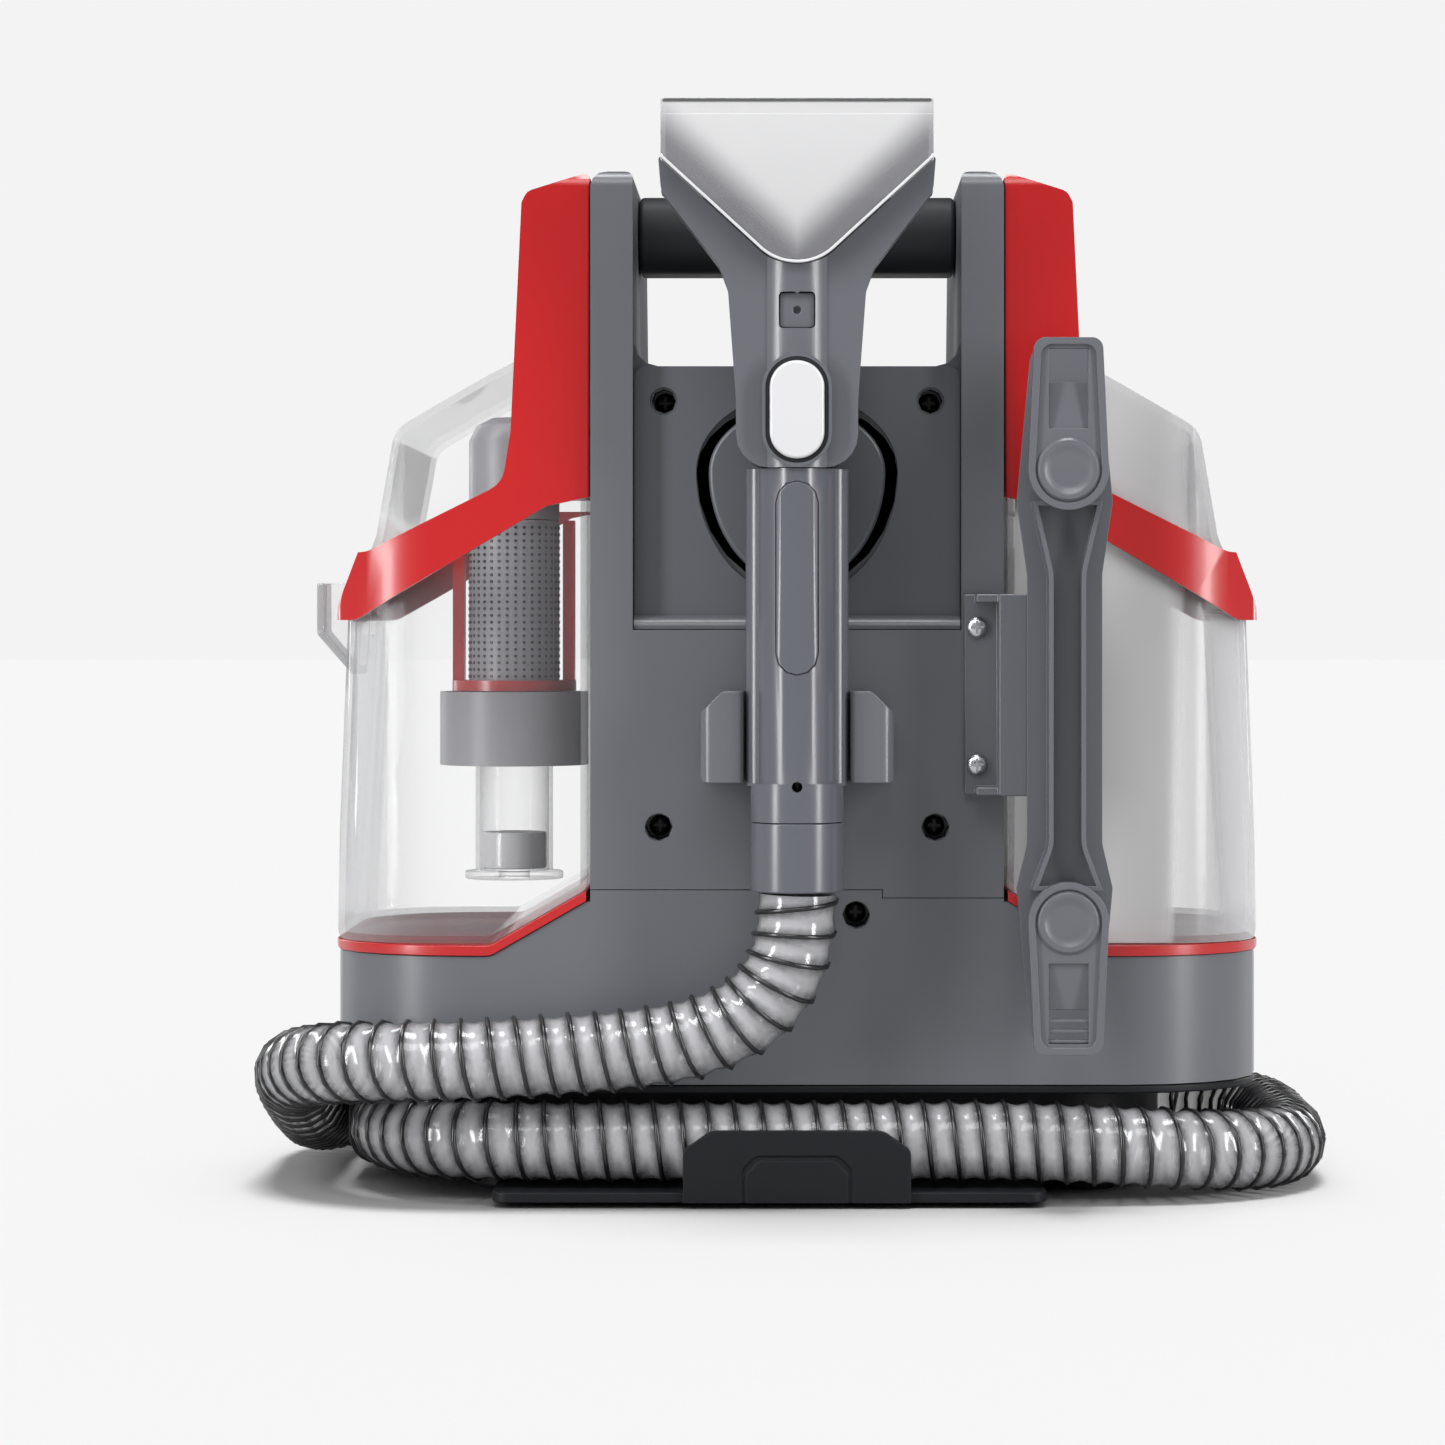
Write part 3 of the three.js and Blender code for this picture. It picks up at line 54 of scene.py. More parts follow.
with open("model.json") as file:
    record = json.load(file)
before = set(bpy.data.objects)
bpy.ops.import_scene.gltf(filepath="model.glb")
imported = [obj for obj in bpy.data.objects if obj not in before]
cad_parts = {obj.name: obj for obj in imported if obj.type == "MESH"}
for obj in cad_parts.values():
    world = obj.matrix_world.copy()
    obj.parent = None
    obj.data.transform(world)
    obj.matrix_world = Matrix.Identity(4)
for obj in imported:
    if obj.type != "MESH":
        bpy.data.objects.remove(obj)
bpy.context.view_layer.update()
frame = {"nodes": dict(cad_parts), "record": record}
RECORD = frame["record"]
NODES = frame["nodes"]
BODY_OF = {node: body for body, nodes in RECORD["behaviour"]["bodies"].items() for node in nodes}
SLOT_OF = {row["node"]: row["material_slot"] for row in RECORD["subparts"]}


# Places in the frame.


def middle(node):
    low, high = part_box(node)
    return (low + high) / 2


BASE_MIDDLE = middle("base_shell")
ORIGIN = Vector((BASE_MIDDLE.x, BASE_MIDDLE.y, 0))  # on the floor, in the tower's centre plane
TOWER_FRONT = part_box("tower_front")[0].y
WAND_AXIS = middle("hose_cuff")
PAST = 0.001  # how far before a face a cut that opens it begins

# Centreline of the hose in its wrapped lie, measured from ORIGIN.
HOSE_ROUTE = [
    (0, -0.124, 0.1132), (-0.0005, -0.124, 0.102), (-0.005, -0.124, 0.085), (-0.017, -0.1235, 0.0705),
    (-0.036, -0.1225, 0.0615), (-0.06, -0.1215, 0.057), (-0.09, -0.1215, 0.0545), (-0.118, -0.1215, 0.053),
    (-0.145, -0.1165, 0.052), (-0.168, -0.101, 0.05), (-0.183, -0.078, 0.046), (-0.1887, -0.051, 0.0405),
    (-0.1887, -0.01, 0.027), (-0.1882, 0.035, 0.018), (-0.182, 0.062, 0.016), (-0.1665, 0.085, 0.0158),
    (-0.1438, 0.1005, 0.0158), (-0.117, 0.1055, 0.0158), (-0.058, 0.106, 0.0158), (0, 0.106, 0.0158),
    (0.058, 0.106, 0.0158), (0.115, 0.1055, 0.0158), (0.1418, 0.1, 0.0158), (0.1645, 0.0845, 0.0158),
    (0.1797, 0.0618, 0.0158), (0.185, 0.035, 0.0158), (0.185, 0, 0.0158), (0.185, -0.036, 0.0158),
    (0.1797, -0.0628, 0.016), (0.1645, -0.0855, 0.0168), (0.1418, -0.1007, 0.0185), (0.115, -0.106, 0.0205),
    (0.075, -0.106, 0.022), (0.02, -0.106, 0.022), (-0.04, -0.106, 0.022), (-0.093, -0.106, 0.022),
    (-0.116, -0.1014, 0.022), (-0.1354, -0.0884, 0.022), (-0.1484, -0.069, 0.022), (-0.153, -0.046, 0.022),
    (-0.153, -0.0403, 0.022),
]


# Sizes and colours.


def srgb(red, green, blue):
    """A colour given as 0 to 255 in sRGB, in the linear values that shaders use."""
    def linear(value):
        share = value / 255
        return share / 12.92 if share <= 0.04045 else ((share + 0.055) / 1.055) ** 2.4

    return (linear(red), linear(green), linear(blue))


def number_of(name, about, value, low=0.0, **kind):
    return FloatProperty(name=name, description=about, default=value, min=low, **kind)


def length_of(name, about, value):
    return number_of(name, about, value, unit="LENGTH")


def share_of(name, about, value, low=-1.0):
    return number_of(name, about, value, low, subtype="FACTOR")


def colour_of(name, about, value):
    look = {"size": 3, "min": 0, "max": 1, "subtype": "COLOR"}
    return FloatVectorProperty(name=name, description=about, default=value, **look)


class HoseSizes(bpy.types.PropertyGroup):
    diameter: length_of("Diameter", "Over the wire rib", 0.031)
    wire: length_of("Wire", "Radius of the wire rib", 0.0009)
    pitch: length_of("Pitch", "From one turn of the rib to the next", 0.0098)
    bulge: length_of("Bulge", "How far the wall sinks between two turns", 0.0005)
    wall_inside: length_of("Wall inside", "From the rib's centre in to the wall", 0.0007)
    wall_step: length_of("Wall step", "Spacing of the wall's rings of vertices", 0.00125)
    wire_step: length_of("Wire step", "Spacing of the rib's vertices", 0.00075)


class MouldingSizes(bpy.types.PropertyGroup):
    shell_edge: length_of("Shell edge", "Rounding of the shells', tanks' and frames' edges", 0.0012)
    edge: length_of("Edge", "Rounding of a moulded edge", 0.0008)
    small_edge: length_of("Small edge", "Rounding of a small piece's edge", 0.0006)
    thin_edge: length_of("Thin edge", "Rounding of a thin-walled piece's edge", 0.0005)
    fine_edge: length_of("Fine edge", "Rounding of the finest edges", 0.0004)
    grain: number_of("Grain", "Bumps of the moulded texture per metre", 2600)


class Colours(bpy.types.PropertyGroup):
    shell: colour_of("Shell", "Tower and base", srgb(83, 85, 90))
    panel: colour_of("Panel", "Recessed front panel", srgb(75, 77, 82))
    dark: colour_of("Dark", "Bottom pan, tray and rear grille", srgb(18, 19, 22))
    red: colour_of("Red", "Tank frames and seats", srgb(155, 13, 16))
    tool: colour_of("Tool", "Spot tool, cradle and cord wrap", srgb(80, 82, 87))
    wand: colour_of("Wand", "Wand and hose cuff", srgb(76, 78, 84))
    separator: colour_of("Separator", "Separator column", srgb(122, 122, 126))
    rubber: colour_of("Rubber", "Handle, feet and caps", srgb(29, 30, 33))
    button: colour_of("Button", "Release button and float", srgb(178, 178, 180))
    clear: colour_of("Clear", "Dirty tank and spout", srgb(206, 208, 211))
    smoke: colour_of("Smoke", "Clean tank", srgb(160, 160, 161))
    hose: colour_of("Hose", "Wall of the hose", srgb(194, 194, 197))
    backdrop: colour_of("Backdrop", "Floor and backdrop", srgb(243, 243, 243))


class StageSizes(bpy.types.PropertyGroup):
    distance: length_of("Distance", "Camera in front of the tower", 1.65)
    height: length_of("Height", "Camera above the floor", 0.208)
    lens: number_of("Lens", "Focal length", 112.6, unit="CAMERA")
    shift_x: share_of("Shift X", "Sideways shift of the camera", -0.0516)
    shift_y: share_of("Shift Y", "Upward shift of the camera", -0.064)
    sky_light: share_of("Sky light", "Soft light from above", 0.5, 0)
    horizon_light: share_of("Horizon light", "Soft light from the sides", 0.12, 0)
    mirrored_light: share_of("Mirrored light", "Brightness of the room in glossy pieces", 0.12, 0)
    overhead: number_of("Overhead", "Strength of the lamp straight above", 2.2)
    overhead_angle: number_of("Overhead angle", "Spread of that lamp", math.radians(24), subtype="ANGLE")
    floor_half: length_of("Floor half width", "From the middle of the floor to its edge", 30)


class PanelSizes(bpy.types.PropertyGroup):
    lip_out: length_of("Lip out", "How far the rolled lip stands before the panel", 0.0068)
    lip_rise: length_of("Lip rise", "Height of the lip's rounded face", 0.0042)
    lip_foot: length_of("Lip foot", "From the panel's lower edge to the rounded face", 0.0008)
    mouth: length_of("Mouth", "Radius of a screw hole's round mouth", 0.0051)
    mouth_depth: length_of("Mouth depth", "Depth of that mouth", 0.0022)


class DialSizes(bpy.types.PropertyGroup):
    half_width: length_of("Half width", "Of the egg-shaped plate", 0.0325)
    height: length_of("Height", "Of its widest place above the floor", 0.266)
    above: length_of("Above", "Its reach above that place", 0.0245)
    below: length_of("Below", "Its reach below that place", 0.0415)
    gap: length_of("Gap", "Round the plate, to the recess's rim", 0.0045)
    sunk: length_of("Sunk", "How far it lies behind the panel's face", 0.0012)
    thickness: length_of("Thickness", "Of the plate", 0.004)
    depth: length_of("Depth", "Of the recess round it", 0.0028)
    edge: length_of("Edge", "Rounding of the plate's edge", 0.0018)


class NozzleSizes(bpy.types.PropertyGroup):
    half_width: length_of("Half width", "Of the V between the spot tool's arms, at its mouth", 0.0485)
    point: length_of("Point", "Height of the V's point above the floor", 0.3318)
    mouth: length_of("Mouth", "Height of the V's mouth above the floor", 0.3763)
    roundness: length_of("Roundness", "Radius of the V's point", 0.0194)
    wall: length_of("Wall", "Thickness of the clear walls", 0.0016)
    step: length_of("Step", "Height where the front wall turns thinner", 0.3915)
    beyond: length_of("Beyond", "A height above the whole nozzle, for cuts", 0.42)
    rib: length_of("Rib", "Half the thickness of an inner rib", 0.0005)
    rib_inside: length_of("Rib inside", "From the nozzle's faces in to a rib", 0.0018)
    rim_out: length_of("Rim out", "How far the rim stands proud of the nozzle", 0.0002)
    rim_in: length_of("Rim in", "How far the rim reaches in from the V", 0.0008)
    rim_depth: length_of("Rim depth", "From the nozzle's face back into it", 0.003)
    lip: length_of("Lip", "Height of the lip at the mouth", 0.0012)
    lip_half: length_of("Lip half width", "Of that lip", 0.0478)
    lip_depth: length_of("Lip depth", "From the nozzle's face back into it", 0.0022)


class ToolSizes(bpy.types.PropertyGroup):
    barrel: length_of("Barrel", "Radius of the grip's round front", 0.0145)
    barrel_forward: length_of("Barrel forward", "From the wand's axis to the barrel's", 0.0035)
    shoulder: length_of("Shoulder", "From the wand's axis to the flat beside the barrel", 0.0135)
    front: length_of("Front", "From the wand's axis to the barrel's flattened front", 0.01795)
    arm: length_of("Arm", "Depth of an arm below its upper edge", 0.012)
    arm_point: length_of("Arm point", "The same at the point of the V", 0.004)
    arm_front: length_of("Arm front", "From the tool's front back to the arms", 0.002)
    arm_back: length_of("Arm back", "From the tool's back forward to the arms", 0.013)
    collar_forward: length_of("Collar forward", "From the wand's axis to the collar's face", 0.018)
    collar: length_of("Collar", "Half width of the collar round the button", 0.0124)
    collar_depth: length_of("Collar depth", "From the collar's face to its back", 0.008)
    collar_hole: length_of("Collar hole", "Half width of the hole in the collar", 0.0112)
    hole_depth: length_of("Hole depth", "Depth of that hole", 0.005)
    gasket: length_of("Gasket", "Half width of the gasket in that hole", 0.0111)
    gasket_hole: length_of("Gasket hole", "Half width of the hole in the gasket", 0.0099)
    button: length_of("Button", "Half width of the button", 0.00975)


class HookSizes(bpy.types.PropertyGroup):
    radius: length_of("Radius", "Of the plate round its pin", 0.0143)
    reach: length_of("Reach", "From the pin to the plate's end", 0.047)
    half_width: length_of("Half width", "Of the plate at its end", 0.0121)
    thickness: length_of("Thickness", "Of the plate", 0.007)
    rim: length_of("Rim", "Width of the raised rim", 0.0024)
    field: length_of("Field", "How far the face lies behind the rim", 0.0013)
    slot_half: length_of("Slot half width", "Of the slot and its tab", 0.0071)
    slot_end: length_of("Slot end", "From the pin to the slot's end", 0.0432)


class ScrewSizes(bpy.types.PropertyGroup):
    radius: length_of("Radius", "Of the head", 0.0038)
    head: length_of("Head", "Height of the head", 0.0026)
    shank: length_of("Shank", "Radius of the shank", 0.0019)


class MachineSettings(bpy.types.PropertyGroup):
    panel: PointerProperty(type=PanelSizes)
    nozzle: PointerProperty(type=NozzleSizes)
    tool: PointerProperty(type=ToolSizes)
    dial: PointerProperty(type=DialSizes)
    hook: PointerProperty(type=HookSizes)
    screw: PointerProperty(type=ScrewSizes)
    hose: PointerProperty(type=HoseSizes)
    moulding: PointerProperty(type=MouldingSizes)
    colours: PointerProperty(type=Colours)
    stage: PointerProperty(type=StageSizes)


def settings():
    return bpy.context.scene.carpet_cleaner


# Materials.


# How often each noise repeats, per metre.
PATCHES, TANK_PATCHES, NOZZLE_PATCHES = 38, 30, 18
WEAR, SMOKE_PATCHES, STREAKS, TURNING, FLOOR_GRAIN = 160, 25, 420, 1500, 400


class Shading:
    """A material's or a world's node tree, whose nodes are added one after another."""

    def __init__(self, owner, shader="Principled BSDF"):
        owner.use_nodes = True
        self.owner = owner
        self.nodes, self.links = owner.node_tree.nodes, owner.node_tree.links
        self.shader = self.nodes[shader]

    def put(self, socket, value):
        """Links another node's output to a socket, or sets the socket to a plain value."""
        if isinstance(value, bpy.types.NodeSocket):
            self.links.new(value, socket)
        else:
            socket.default_value = (*value, 1) if socket.type == "RGBA" else value

    def add(self, kind, output=0, **inputs):
        node = self.nodes.new(kind)
        for label, value in inputs.items():
            self.put(node.inputs[label.replace("_", " ")], value)
        return node.outputs[output]

    def finish(self, **inputs):
        """Sets the shader's own inputs, and returns the material or world."""
        for label, value in inputs.items():
            self.put(self.shader.inputs[label.replace("_", " ")], value)
        return self.owner

    def math(self, operation, *values):
        node = self.nodes.new("ShaderNodeMath")
        node.operation = operation
        for socket, value in zip(node.inputs, values):
            self.put(socket, value)
        return node.outputs[0]

    def mix(self, share, one, two, kind="RGBA"):
        """From one to two, which are colours, or plain values where the kind is FLOAT."""
        node = self.nodes.new("ShaderNodeMix")
        node.data_type = kind
        first, result = (6, 2) if kind == "RGBA" else (2, 0)
        for number, value in ((0, share), (first, one), (first + 1, two)):
            self.put(node.inputs[number], value)
        return node.outputs[result]

    def ranged(self, value, low, high, start=0.0, stop=1.0, curve="LINEAR"):
        """The value's reach from start to stop, spread over low to high."""
        node = self.nodes.new("ShaderNodeMapRange")
        node.interpolation_type = curve
        given = {"Value": value, "From Min": start, "From Max": stop, "To Min": low, "To Max": high}
        for label, number in given.items():
            self.put(node.inputs[label], number)
        return node.outputs["Result"]

    def noise(self, scale, detail=3.0):
        """A noise texture on Object coordinates."""
        place = self.add("ShaderNodeTexCoord", "Object")
        return self.add("ShaderNodeTexNoise", "Fac", Vector=place, Scale=scale, Detail=detail)

    def spread(self, noise, low, high):
        """A noise, most of which lies between 0.3 and 0.7, spread over low to high."""
        return self.ranged(noise, low, high, 0.3, 0.7)

    def tinted(self, noise, colour, shade):
        """A colour that drifts a little between darker and lighter patches."""
        return self.mix(noise, [c * (1 - shade) for c in colour], [min(1, c * (1 + shade)) for c in colour])

    def facing(self, blend):
        """Low where the surface faces the eye, and high where it turns away."""
        return self.add("ShaderNodeLayerWeight", "Facing", Blend=blend)

    def axis(self, source, letter):
        return self.add("ShaderNodeSeparateXYZ", letter, Vector=source)


def new_paint(name):
    return Shading(bpy.data.materials.new(name))


def moulded(name, colour, roughness, grain=0.0, depth=0.00004, coat=0.0, shade=0.03, gloss=0.5):
    """Moulded plastic or rubber: drifting colour, uneven gloss and a fine surface texture."""
    paint = new_paint(name)
    if grain:
        bumps = paint.noise(settings().moulding.grain, 2)
        paint.finish(Normal=paint.add("ShaderNodeBump", Strength=grain, Distance=depth, Height=bumps))
    return paint.finish(
        Base_Color=paint.tinted(paint.noise(PATCHES), colour, shade),
        Roughness=paint.spread(paint.noise(WEAR, 2), roughness * 0.97, roughness * 1.03),
        Specular_IOR_Level=gloss,
        Coat_Weight=coat,
        Coat_Roughness=0.12,
    )


def see_through(name, colour, edge_colour, face_on, edge_on, roughness=0.06):
    """Clear plastic: where it turns away from the eye it is darker, and more is seen of it."""
    paint = new_paint(name)
    patches = paint.noise(TANK_PATCHES)
    facing = paint.facing(0.32)
    return paint.finish(
        # Painted shade: the edge colour where the plastic turns away from the eye.
        Base_Color=paint.mix(facing, paint.tinted(patches, colour, 0.02), edge_colour),
        Roughness=paint.spread(patches, roughness * 0.8, roughness * 1.3),
        Alpha=paint.ranged(facing, face_on, edge_on),
        Specular_IOR_Level=0.7,
    )


def smoke_with_painted_light(name, colour, clear_colour, flat_alpha, clear):
    """Tank plastic whose flat front and back are frosted, and whose rounded corners are nearly clear."""
    paint = new_paint(name)
    forward = paint.math("ABSOLUTE", paint.axis(paint.add("ShaderNodeNewGeometry", "Normal"), "Y"))
    # Painted light: faces that look front or back are greyer and more opaque than the rounded corners.
    flat = paint.ranged(forward, 0, 1, 0.985, 0.998)
    edge = paint.ranged(paint.facing(0.3), clear, 0.9)
    return paint.finish(
        Base_Color=paint.mix(flat, clear_colour, paint.tinted(paint.noise(SMOKE_PATCHES), colour, 0.01)),
        Alpha=paint.mix(flat, edge, flat_alpha, "FLOAT"),
        Roughness=0.12,
    )


def hose_plastic(name, colour):
    """Clear hose wall: dark beside the wire rib and at its silhouette, bright between two turns."""
    paint = new_paint(name)
    wave = paint.nodes.new("ShaderNodeAttribute")
    wave.attribute_name = "wave"
    # Painted shade beside each turn of the rib and a painted highlight between turns, made uneven by streaks.
    uneven = paint.math("MULTIPLY_ADD", paint.noise(STREAKS, 2), 0.9, wave.outputs["Fac"])
    rib_shade_and_highlight = paint.mix(paint.ranged(uneven, 0, 1, -0.25, 1.5), colour, [c * 0.16 for c in colour])
    # Painted shade at the silhouette, where the wall turns away from the eye.
    facing = paint.facing(0.4)
    return paint.finish(
        Base_Color=paint.mix(facing, rib_shade_and_highlight, srgb(34, 34, 37)),
        Alpha=paint.ranged(facing, 0.48, 1),
        Roughness=0.13,
        Specular_IOR_Level=0.8,
    )


def nozzle_slope():
    """How steeply the nozzle's V rises from its point to its mouth."""
    nozzle = settings().nozzle
    return (nozzle.mouth - nozzle.point) / nozzle.half_width


def nozzle_plastic(name, shaded_side_colour, lit_middle_colour):
    """Clear plastic of the nozzle: grey along the sides of its V, pale in the middle and at the mouth."""
    paint = new_paint(name)
    place = paint.add("ShaderNodeTexCoord", "Object")
    across = paint.math("ABSOLUTE", paint.math("SUBTRACT", paint.axis(place, "X"), ORIGIN.x))
    rise = paint.math("SUBTRACT", paint.axis(place, "Z"), settings().nozzle.point)
    inside = paint.math("SUBTRACT", rise, paint.math("MULTIPLY", across, nozzle_slope()))
    # Painted shade: grey near the edges of the V, fading to the pale painted light of its middle.
    share = paint.ranged(inside, 0, 1, 0.006, 0.026, "SMOOTHSTEP")
    sides = paint.tinted(paint.noise(NOZZLE_PATCHES), shaded_side_colour, 0.02)
    return paint.finish(Base_Color=paint.mix(share, sides, lit_middle_colour), Roughness=0.14, Alpha=0.62)


def zinc(name):
    """Plated steel with fine turning marks."""
    paint = new_paint(name)
    marks = paint.noise(TURNING, 2)
    return paint.finish(
        Metallic=1,
        Base_Color=paint.tinted(marks, srgb(190, 192, 196), 0.12),
        Roughness=paint.spread(marks, 0.22, 0.4),
    )


def make_materials():
    colours = settings().colours
    return {
        "grey_shell": moulded("shell_grey", colours.shell, 0.34, grain=0.1),
        "panel_grey": moulded("panel_grey", colours.panel, 0.34, grain=0.1),
        "dark_shell": moulded("dark_moulding", colours.dark, 0.5, grain=0.3, gloss=0.2),
        "red_gloss": moulded("frame_red", colours.red, 0.3, coat=0.15, shade=0.02),
        "tool_grey": moulded("tool_grey", colours.tool, 0.3, grain=0.1, shade=0.01),
        "wand_grey": moulded("wand_grey", colours.wand, 0.25, grain=0.06, shade=0.01),
        "separator_grey": moulded("separator_grey", colours.separator, 0.4, grain=0.1),
        "black_rubber": moulded("black_rubber", colours.rubber, 0.55, grain=0.4, depth=0.00008, gloss=0.2),
        "white_gloss": moulded("button_white", colours.button, 0.2, coat=0.5, shade=0.01),
        "black_steel": moulded("black_steel", srgb(22, 23, 25), 0.4),
        "rib_black": moulded("rib_black", srgb(17, 17, 19), 0.3, coat=0.2),
        "zinc_steel": zinc("zinc_plate"),
        "motor_metal": zinc("motor_can"),
        # The darker edge colours of the clear tank and the spout are painted shade.
        "clear_tank": see_through("clear_tank", colours.clear, srgb(104, 105, 108), 0.03, 0.55),
        "spout_clear": see_through("spout_clear", colours.clear, srgb(60, 60, 63), 0.12, 0.9),
        # The clean tank's split between grey flat faces and paler clear corners is painted light.
        "smoke_tank": smoke_with_painted_light("smoke_tank", colours.smoke, srgb(190, 190, 192), 0.88, 0.1),
        "hose_clear": hose_plastic("hose_wall", colours.hose),
        # The nozzle's grey and pale colours are painted shade and painted light.
        "nozzle_clear": nozzle_plastic("nozzle_clear", srgb(112, 112, 115), srgb(186, 186, 187)),
        # The nozzle edge's pale colour is a painted highlight along the V.
        "nozzle_edge": see_through("nozzle_edge", srgb(196, 196, 198), srgb(200, 200, 202), 0.8, 1),
        "nozzle_lip": see_through("nozzle_lip", srgb(70, 71, 73), srgb(60, 60, 62), 0.75, 1),
    }


MATERIALS = {}


# Meshes.


MERGE = 0.00002  # vertices nearer than this are one
FLAT = math.radians(0.6)  # faces that meet at less than this are one


def placed(name, data):
    """A new object in the scene that holds the given mesh, curve, light or camera."""
    piece = bpy.data.objects.new(name, data)
    bpy.context.scene.collection.objects.link(piece)
    return piece


def object_from(name, shape):
    """A new object from a bmesh, its normals facing out."""
    bmesh.ops.recalc_face_normals(shape, faces=shape.faces)
    mesh = bpy.data.meshes.new(name)
    shape.to_mesh(mesh)
    shape.free()
    return placed(name, mesh)


def round_edges(piece, width, segments=3, harden=False):
    """Rounds the piece's sharp edges, and shades its curved faces smooth."""
    piece.data.shade_smooth()
    bevel = piece.modifiers.new("edges", "BEVEL")
    bevel.width = width
    bevel.segments = segments
    bevel.limit_method = "ANGLE"
    bevel.angle_limit = math.radians(35)
    bevel.miter_outer = "MITER_ARC"
    bevel.harden_normals = harden
    if not harden:
        weighted = piece.modifiers.new("normals", "WEIGHTED_NORMAL")
        weighted.keep_sharp = True


def attach(piece, node, slot=None, material=None):
    """Gives a finished piece its material, and the body and slot of a CAD node."""
    slot = slot or SLOT_OF[node]
    piece.data.materials.clear()
    piece.data.materials.append(MATERIALS[material or slot])
    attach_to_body(piece, BODY_OF[node])
    return piece


def dress(piece, node, material=None):
    """Attaches a finished piece that stands for a CAD node."""
    attach(piece, node, material=material)
    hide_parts(node)
    return piece


def merged_copy(mesh):
    """A bmesh of a mesh with its doubles merged and its flat faces whole."""
    shape = bmesh.new()
    shape.from_mesh(mesh)
    bmesh.ops.remove_doubles(shape, verts=shape.verts, dist=MERGE)
    edges = [edge for edge in shape.edges if edge.is_manifold]
    bmesh.ops.dissolve_limit(shape, angle_limit=FLAT, verts=shape.verts, edges=edges)
    return shape


def copy_of(node):
    return merged_copy(NODES[node].data)


def moulding(node, width, segments=3, material=None):
    """A CAD node's shape as a moulding with rounded edges."""
    piece = object_from(node + "_moulding", copy_of(node))
    round_edges(piece, width, segments)
    return dress(piece, node, material)


def arc_points(corners, step=7.5):
    """A closed outline through corners (u, v, radius), a radius turning its corner into an arc."""
    points = []
    count = len(corners)
    for i, corner in enumerate(corners):
        u, v, radius = (*corner, 0)[:3]
        here = Vector((u, v))
        before = Vector(corners[i - 1][:2]) - here
        after = Vector(corners[(i + 1) % count][:2]) - here
        room = min(before.length, after.length) / 2
        before.normalize()
        after.normalize()
        half = before.angle(after) / 2
        turn = math.pi - 2 * half
        cut = min(radius / math.tan(half), room) if radius else 0
        if cut < 1e-5 or turn < 0.03:
            points.append(here)
            continue
        fitted = cut * math.tan(half)
        centre = here + (before + after).normalized() * (fitted / math.sin(half))
        start = here + before * cut - centre
        end = here + after * cut - centre
        way = math.copysign(1, start.x * end.y - start.y * end.x)
        chords = max(2, math.ceil(math.degrees(turn) / step))
        for k in range(chords + 1):
            spoke = start.copy()
            spoke.rotate(Matrix.Rotation(way * turn * k / chords, 2))
            points.append(centre + spoke)
    return points


LAY_OUT = {
    "x": lambda u, v, w: Vector((w, u, v)),
    "y": lambda u, v, w: Vector((u, w, v)),
    "z": lambda u, v, w: Vector((u, v, w)),
}


def slab(points, low, high, axis, place=Vector()):
    """A bmesh of an outline's points carried from low to high along an axis."""
    shape = bmesh.new()
    lay = LAY_OUT[axis]
    ends = [[shape.verts.new(place + lay(u, v, level)) for u, v in points] for level in (low, high)]
    shape.faces.new(ends[0])
    shape.faces.new(reversed(ends[1]))
    count = len(points)
    for i in range(count):
        k = (i + 1) % count
        shape.faces.new((ends[0][i], ends[0][k], ends[1][k], ends[1][i]))
    return shape


def lathe(profile, place, sides=64, axis="z"):
    """A bmesh turned about an axis through place, from a closed profile of (radius, height)."""
    shape = bmesh.new()
    lay = LAY_OUT[axis]
    rings = []
    for radius, height in profile:
        if radius < 1e-6:
            rings.append([shape.verts.new(place + lay(0, 0, height))])
            continue
        angles = [2 * math.pi * k / sides for k in range(sides)]
        rings.append([
            shape.verts.new(place + lay(radius * math.cos(a), radius * math.sin(a), height)) for a in angles
        ])
    for one, two in zip(rings, rings[1:]):
        if len(one) == 1 and len(two) == 1:
            continue
        for k in range(sides):
            j = (k + 1) % sides
            corners = [one[k % len(one)], one[j % len(one)], two[j % len(two)], two[k % len(two)]]
            unique = list(dict.fromkeys(corners))
            shape.faces.new(unique)
    bmesh.ops.remove_doubles(shape, verts=shape.verts, dist=1e-6)
    return shape


def circle(radius, sides):
    turns = [2 * math.pi * k / sides for k in range(sides)]
    return [(radius * math.cos(a), radius * math.sin(a)) for a in turns]


def rectangle(left, right, low, high):
    return [(left, low), (right, low), (right, high), (left, high)]


def combine(name, base, *steps):
    """A new object from the bmesh base, each step ("cut", "join" or "keep", bmesh) worked into it in turn."""
    made = object_from(name, base)
    operations = {"cut": "DIFFERENCE", "join": "UNION", "keep": "INTERSECT"}
    cutters = []
    for kind, shape in steps:
        cutter = object_from("cutter", shape)
        cutters.append(cutter)
        boolean = made.modifiers.new(kind, "BOOLEAN")
        boolean.operation = operations[kind]
        boolean.solver = "EXACT"
        boolean.object = cutter
    graph = bpy.context.evaluated_depsgraph_get()
    mesh = bpy.data.meshes.new_from_object(made.evaluated_get(graph))
    made.modifiers.clear()
    made.data = mesh
    mesh.name = name
    for cutter in cutters:
        bpy.data.objects.remove(cutter)
    shape = merged_copy(mesh)
    shape.to_mesh(mesh)
    shape.free()
    return made


# Geometry nodes.


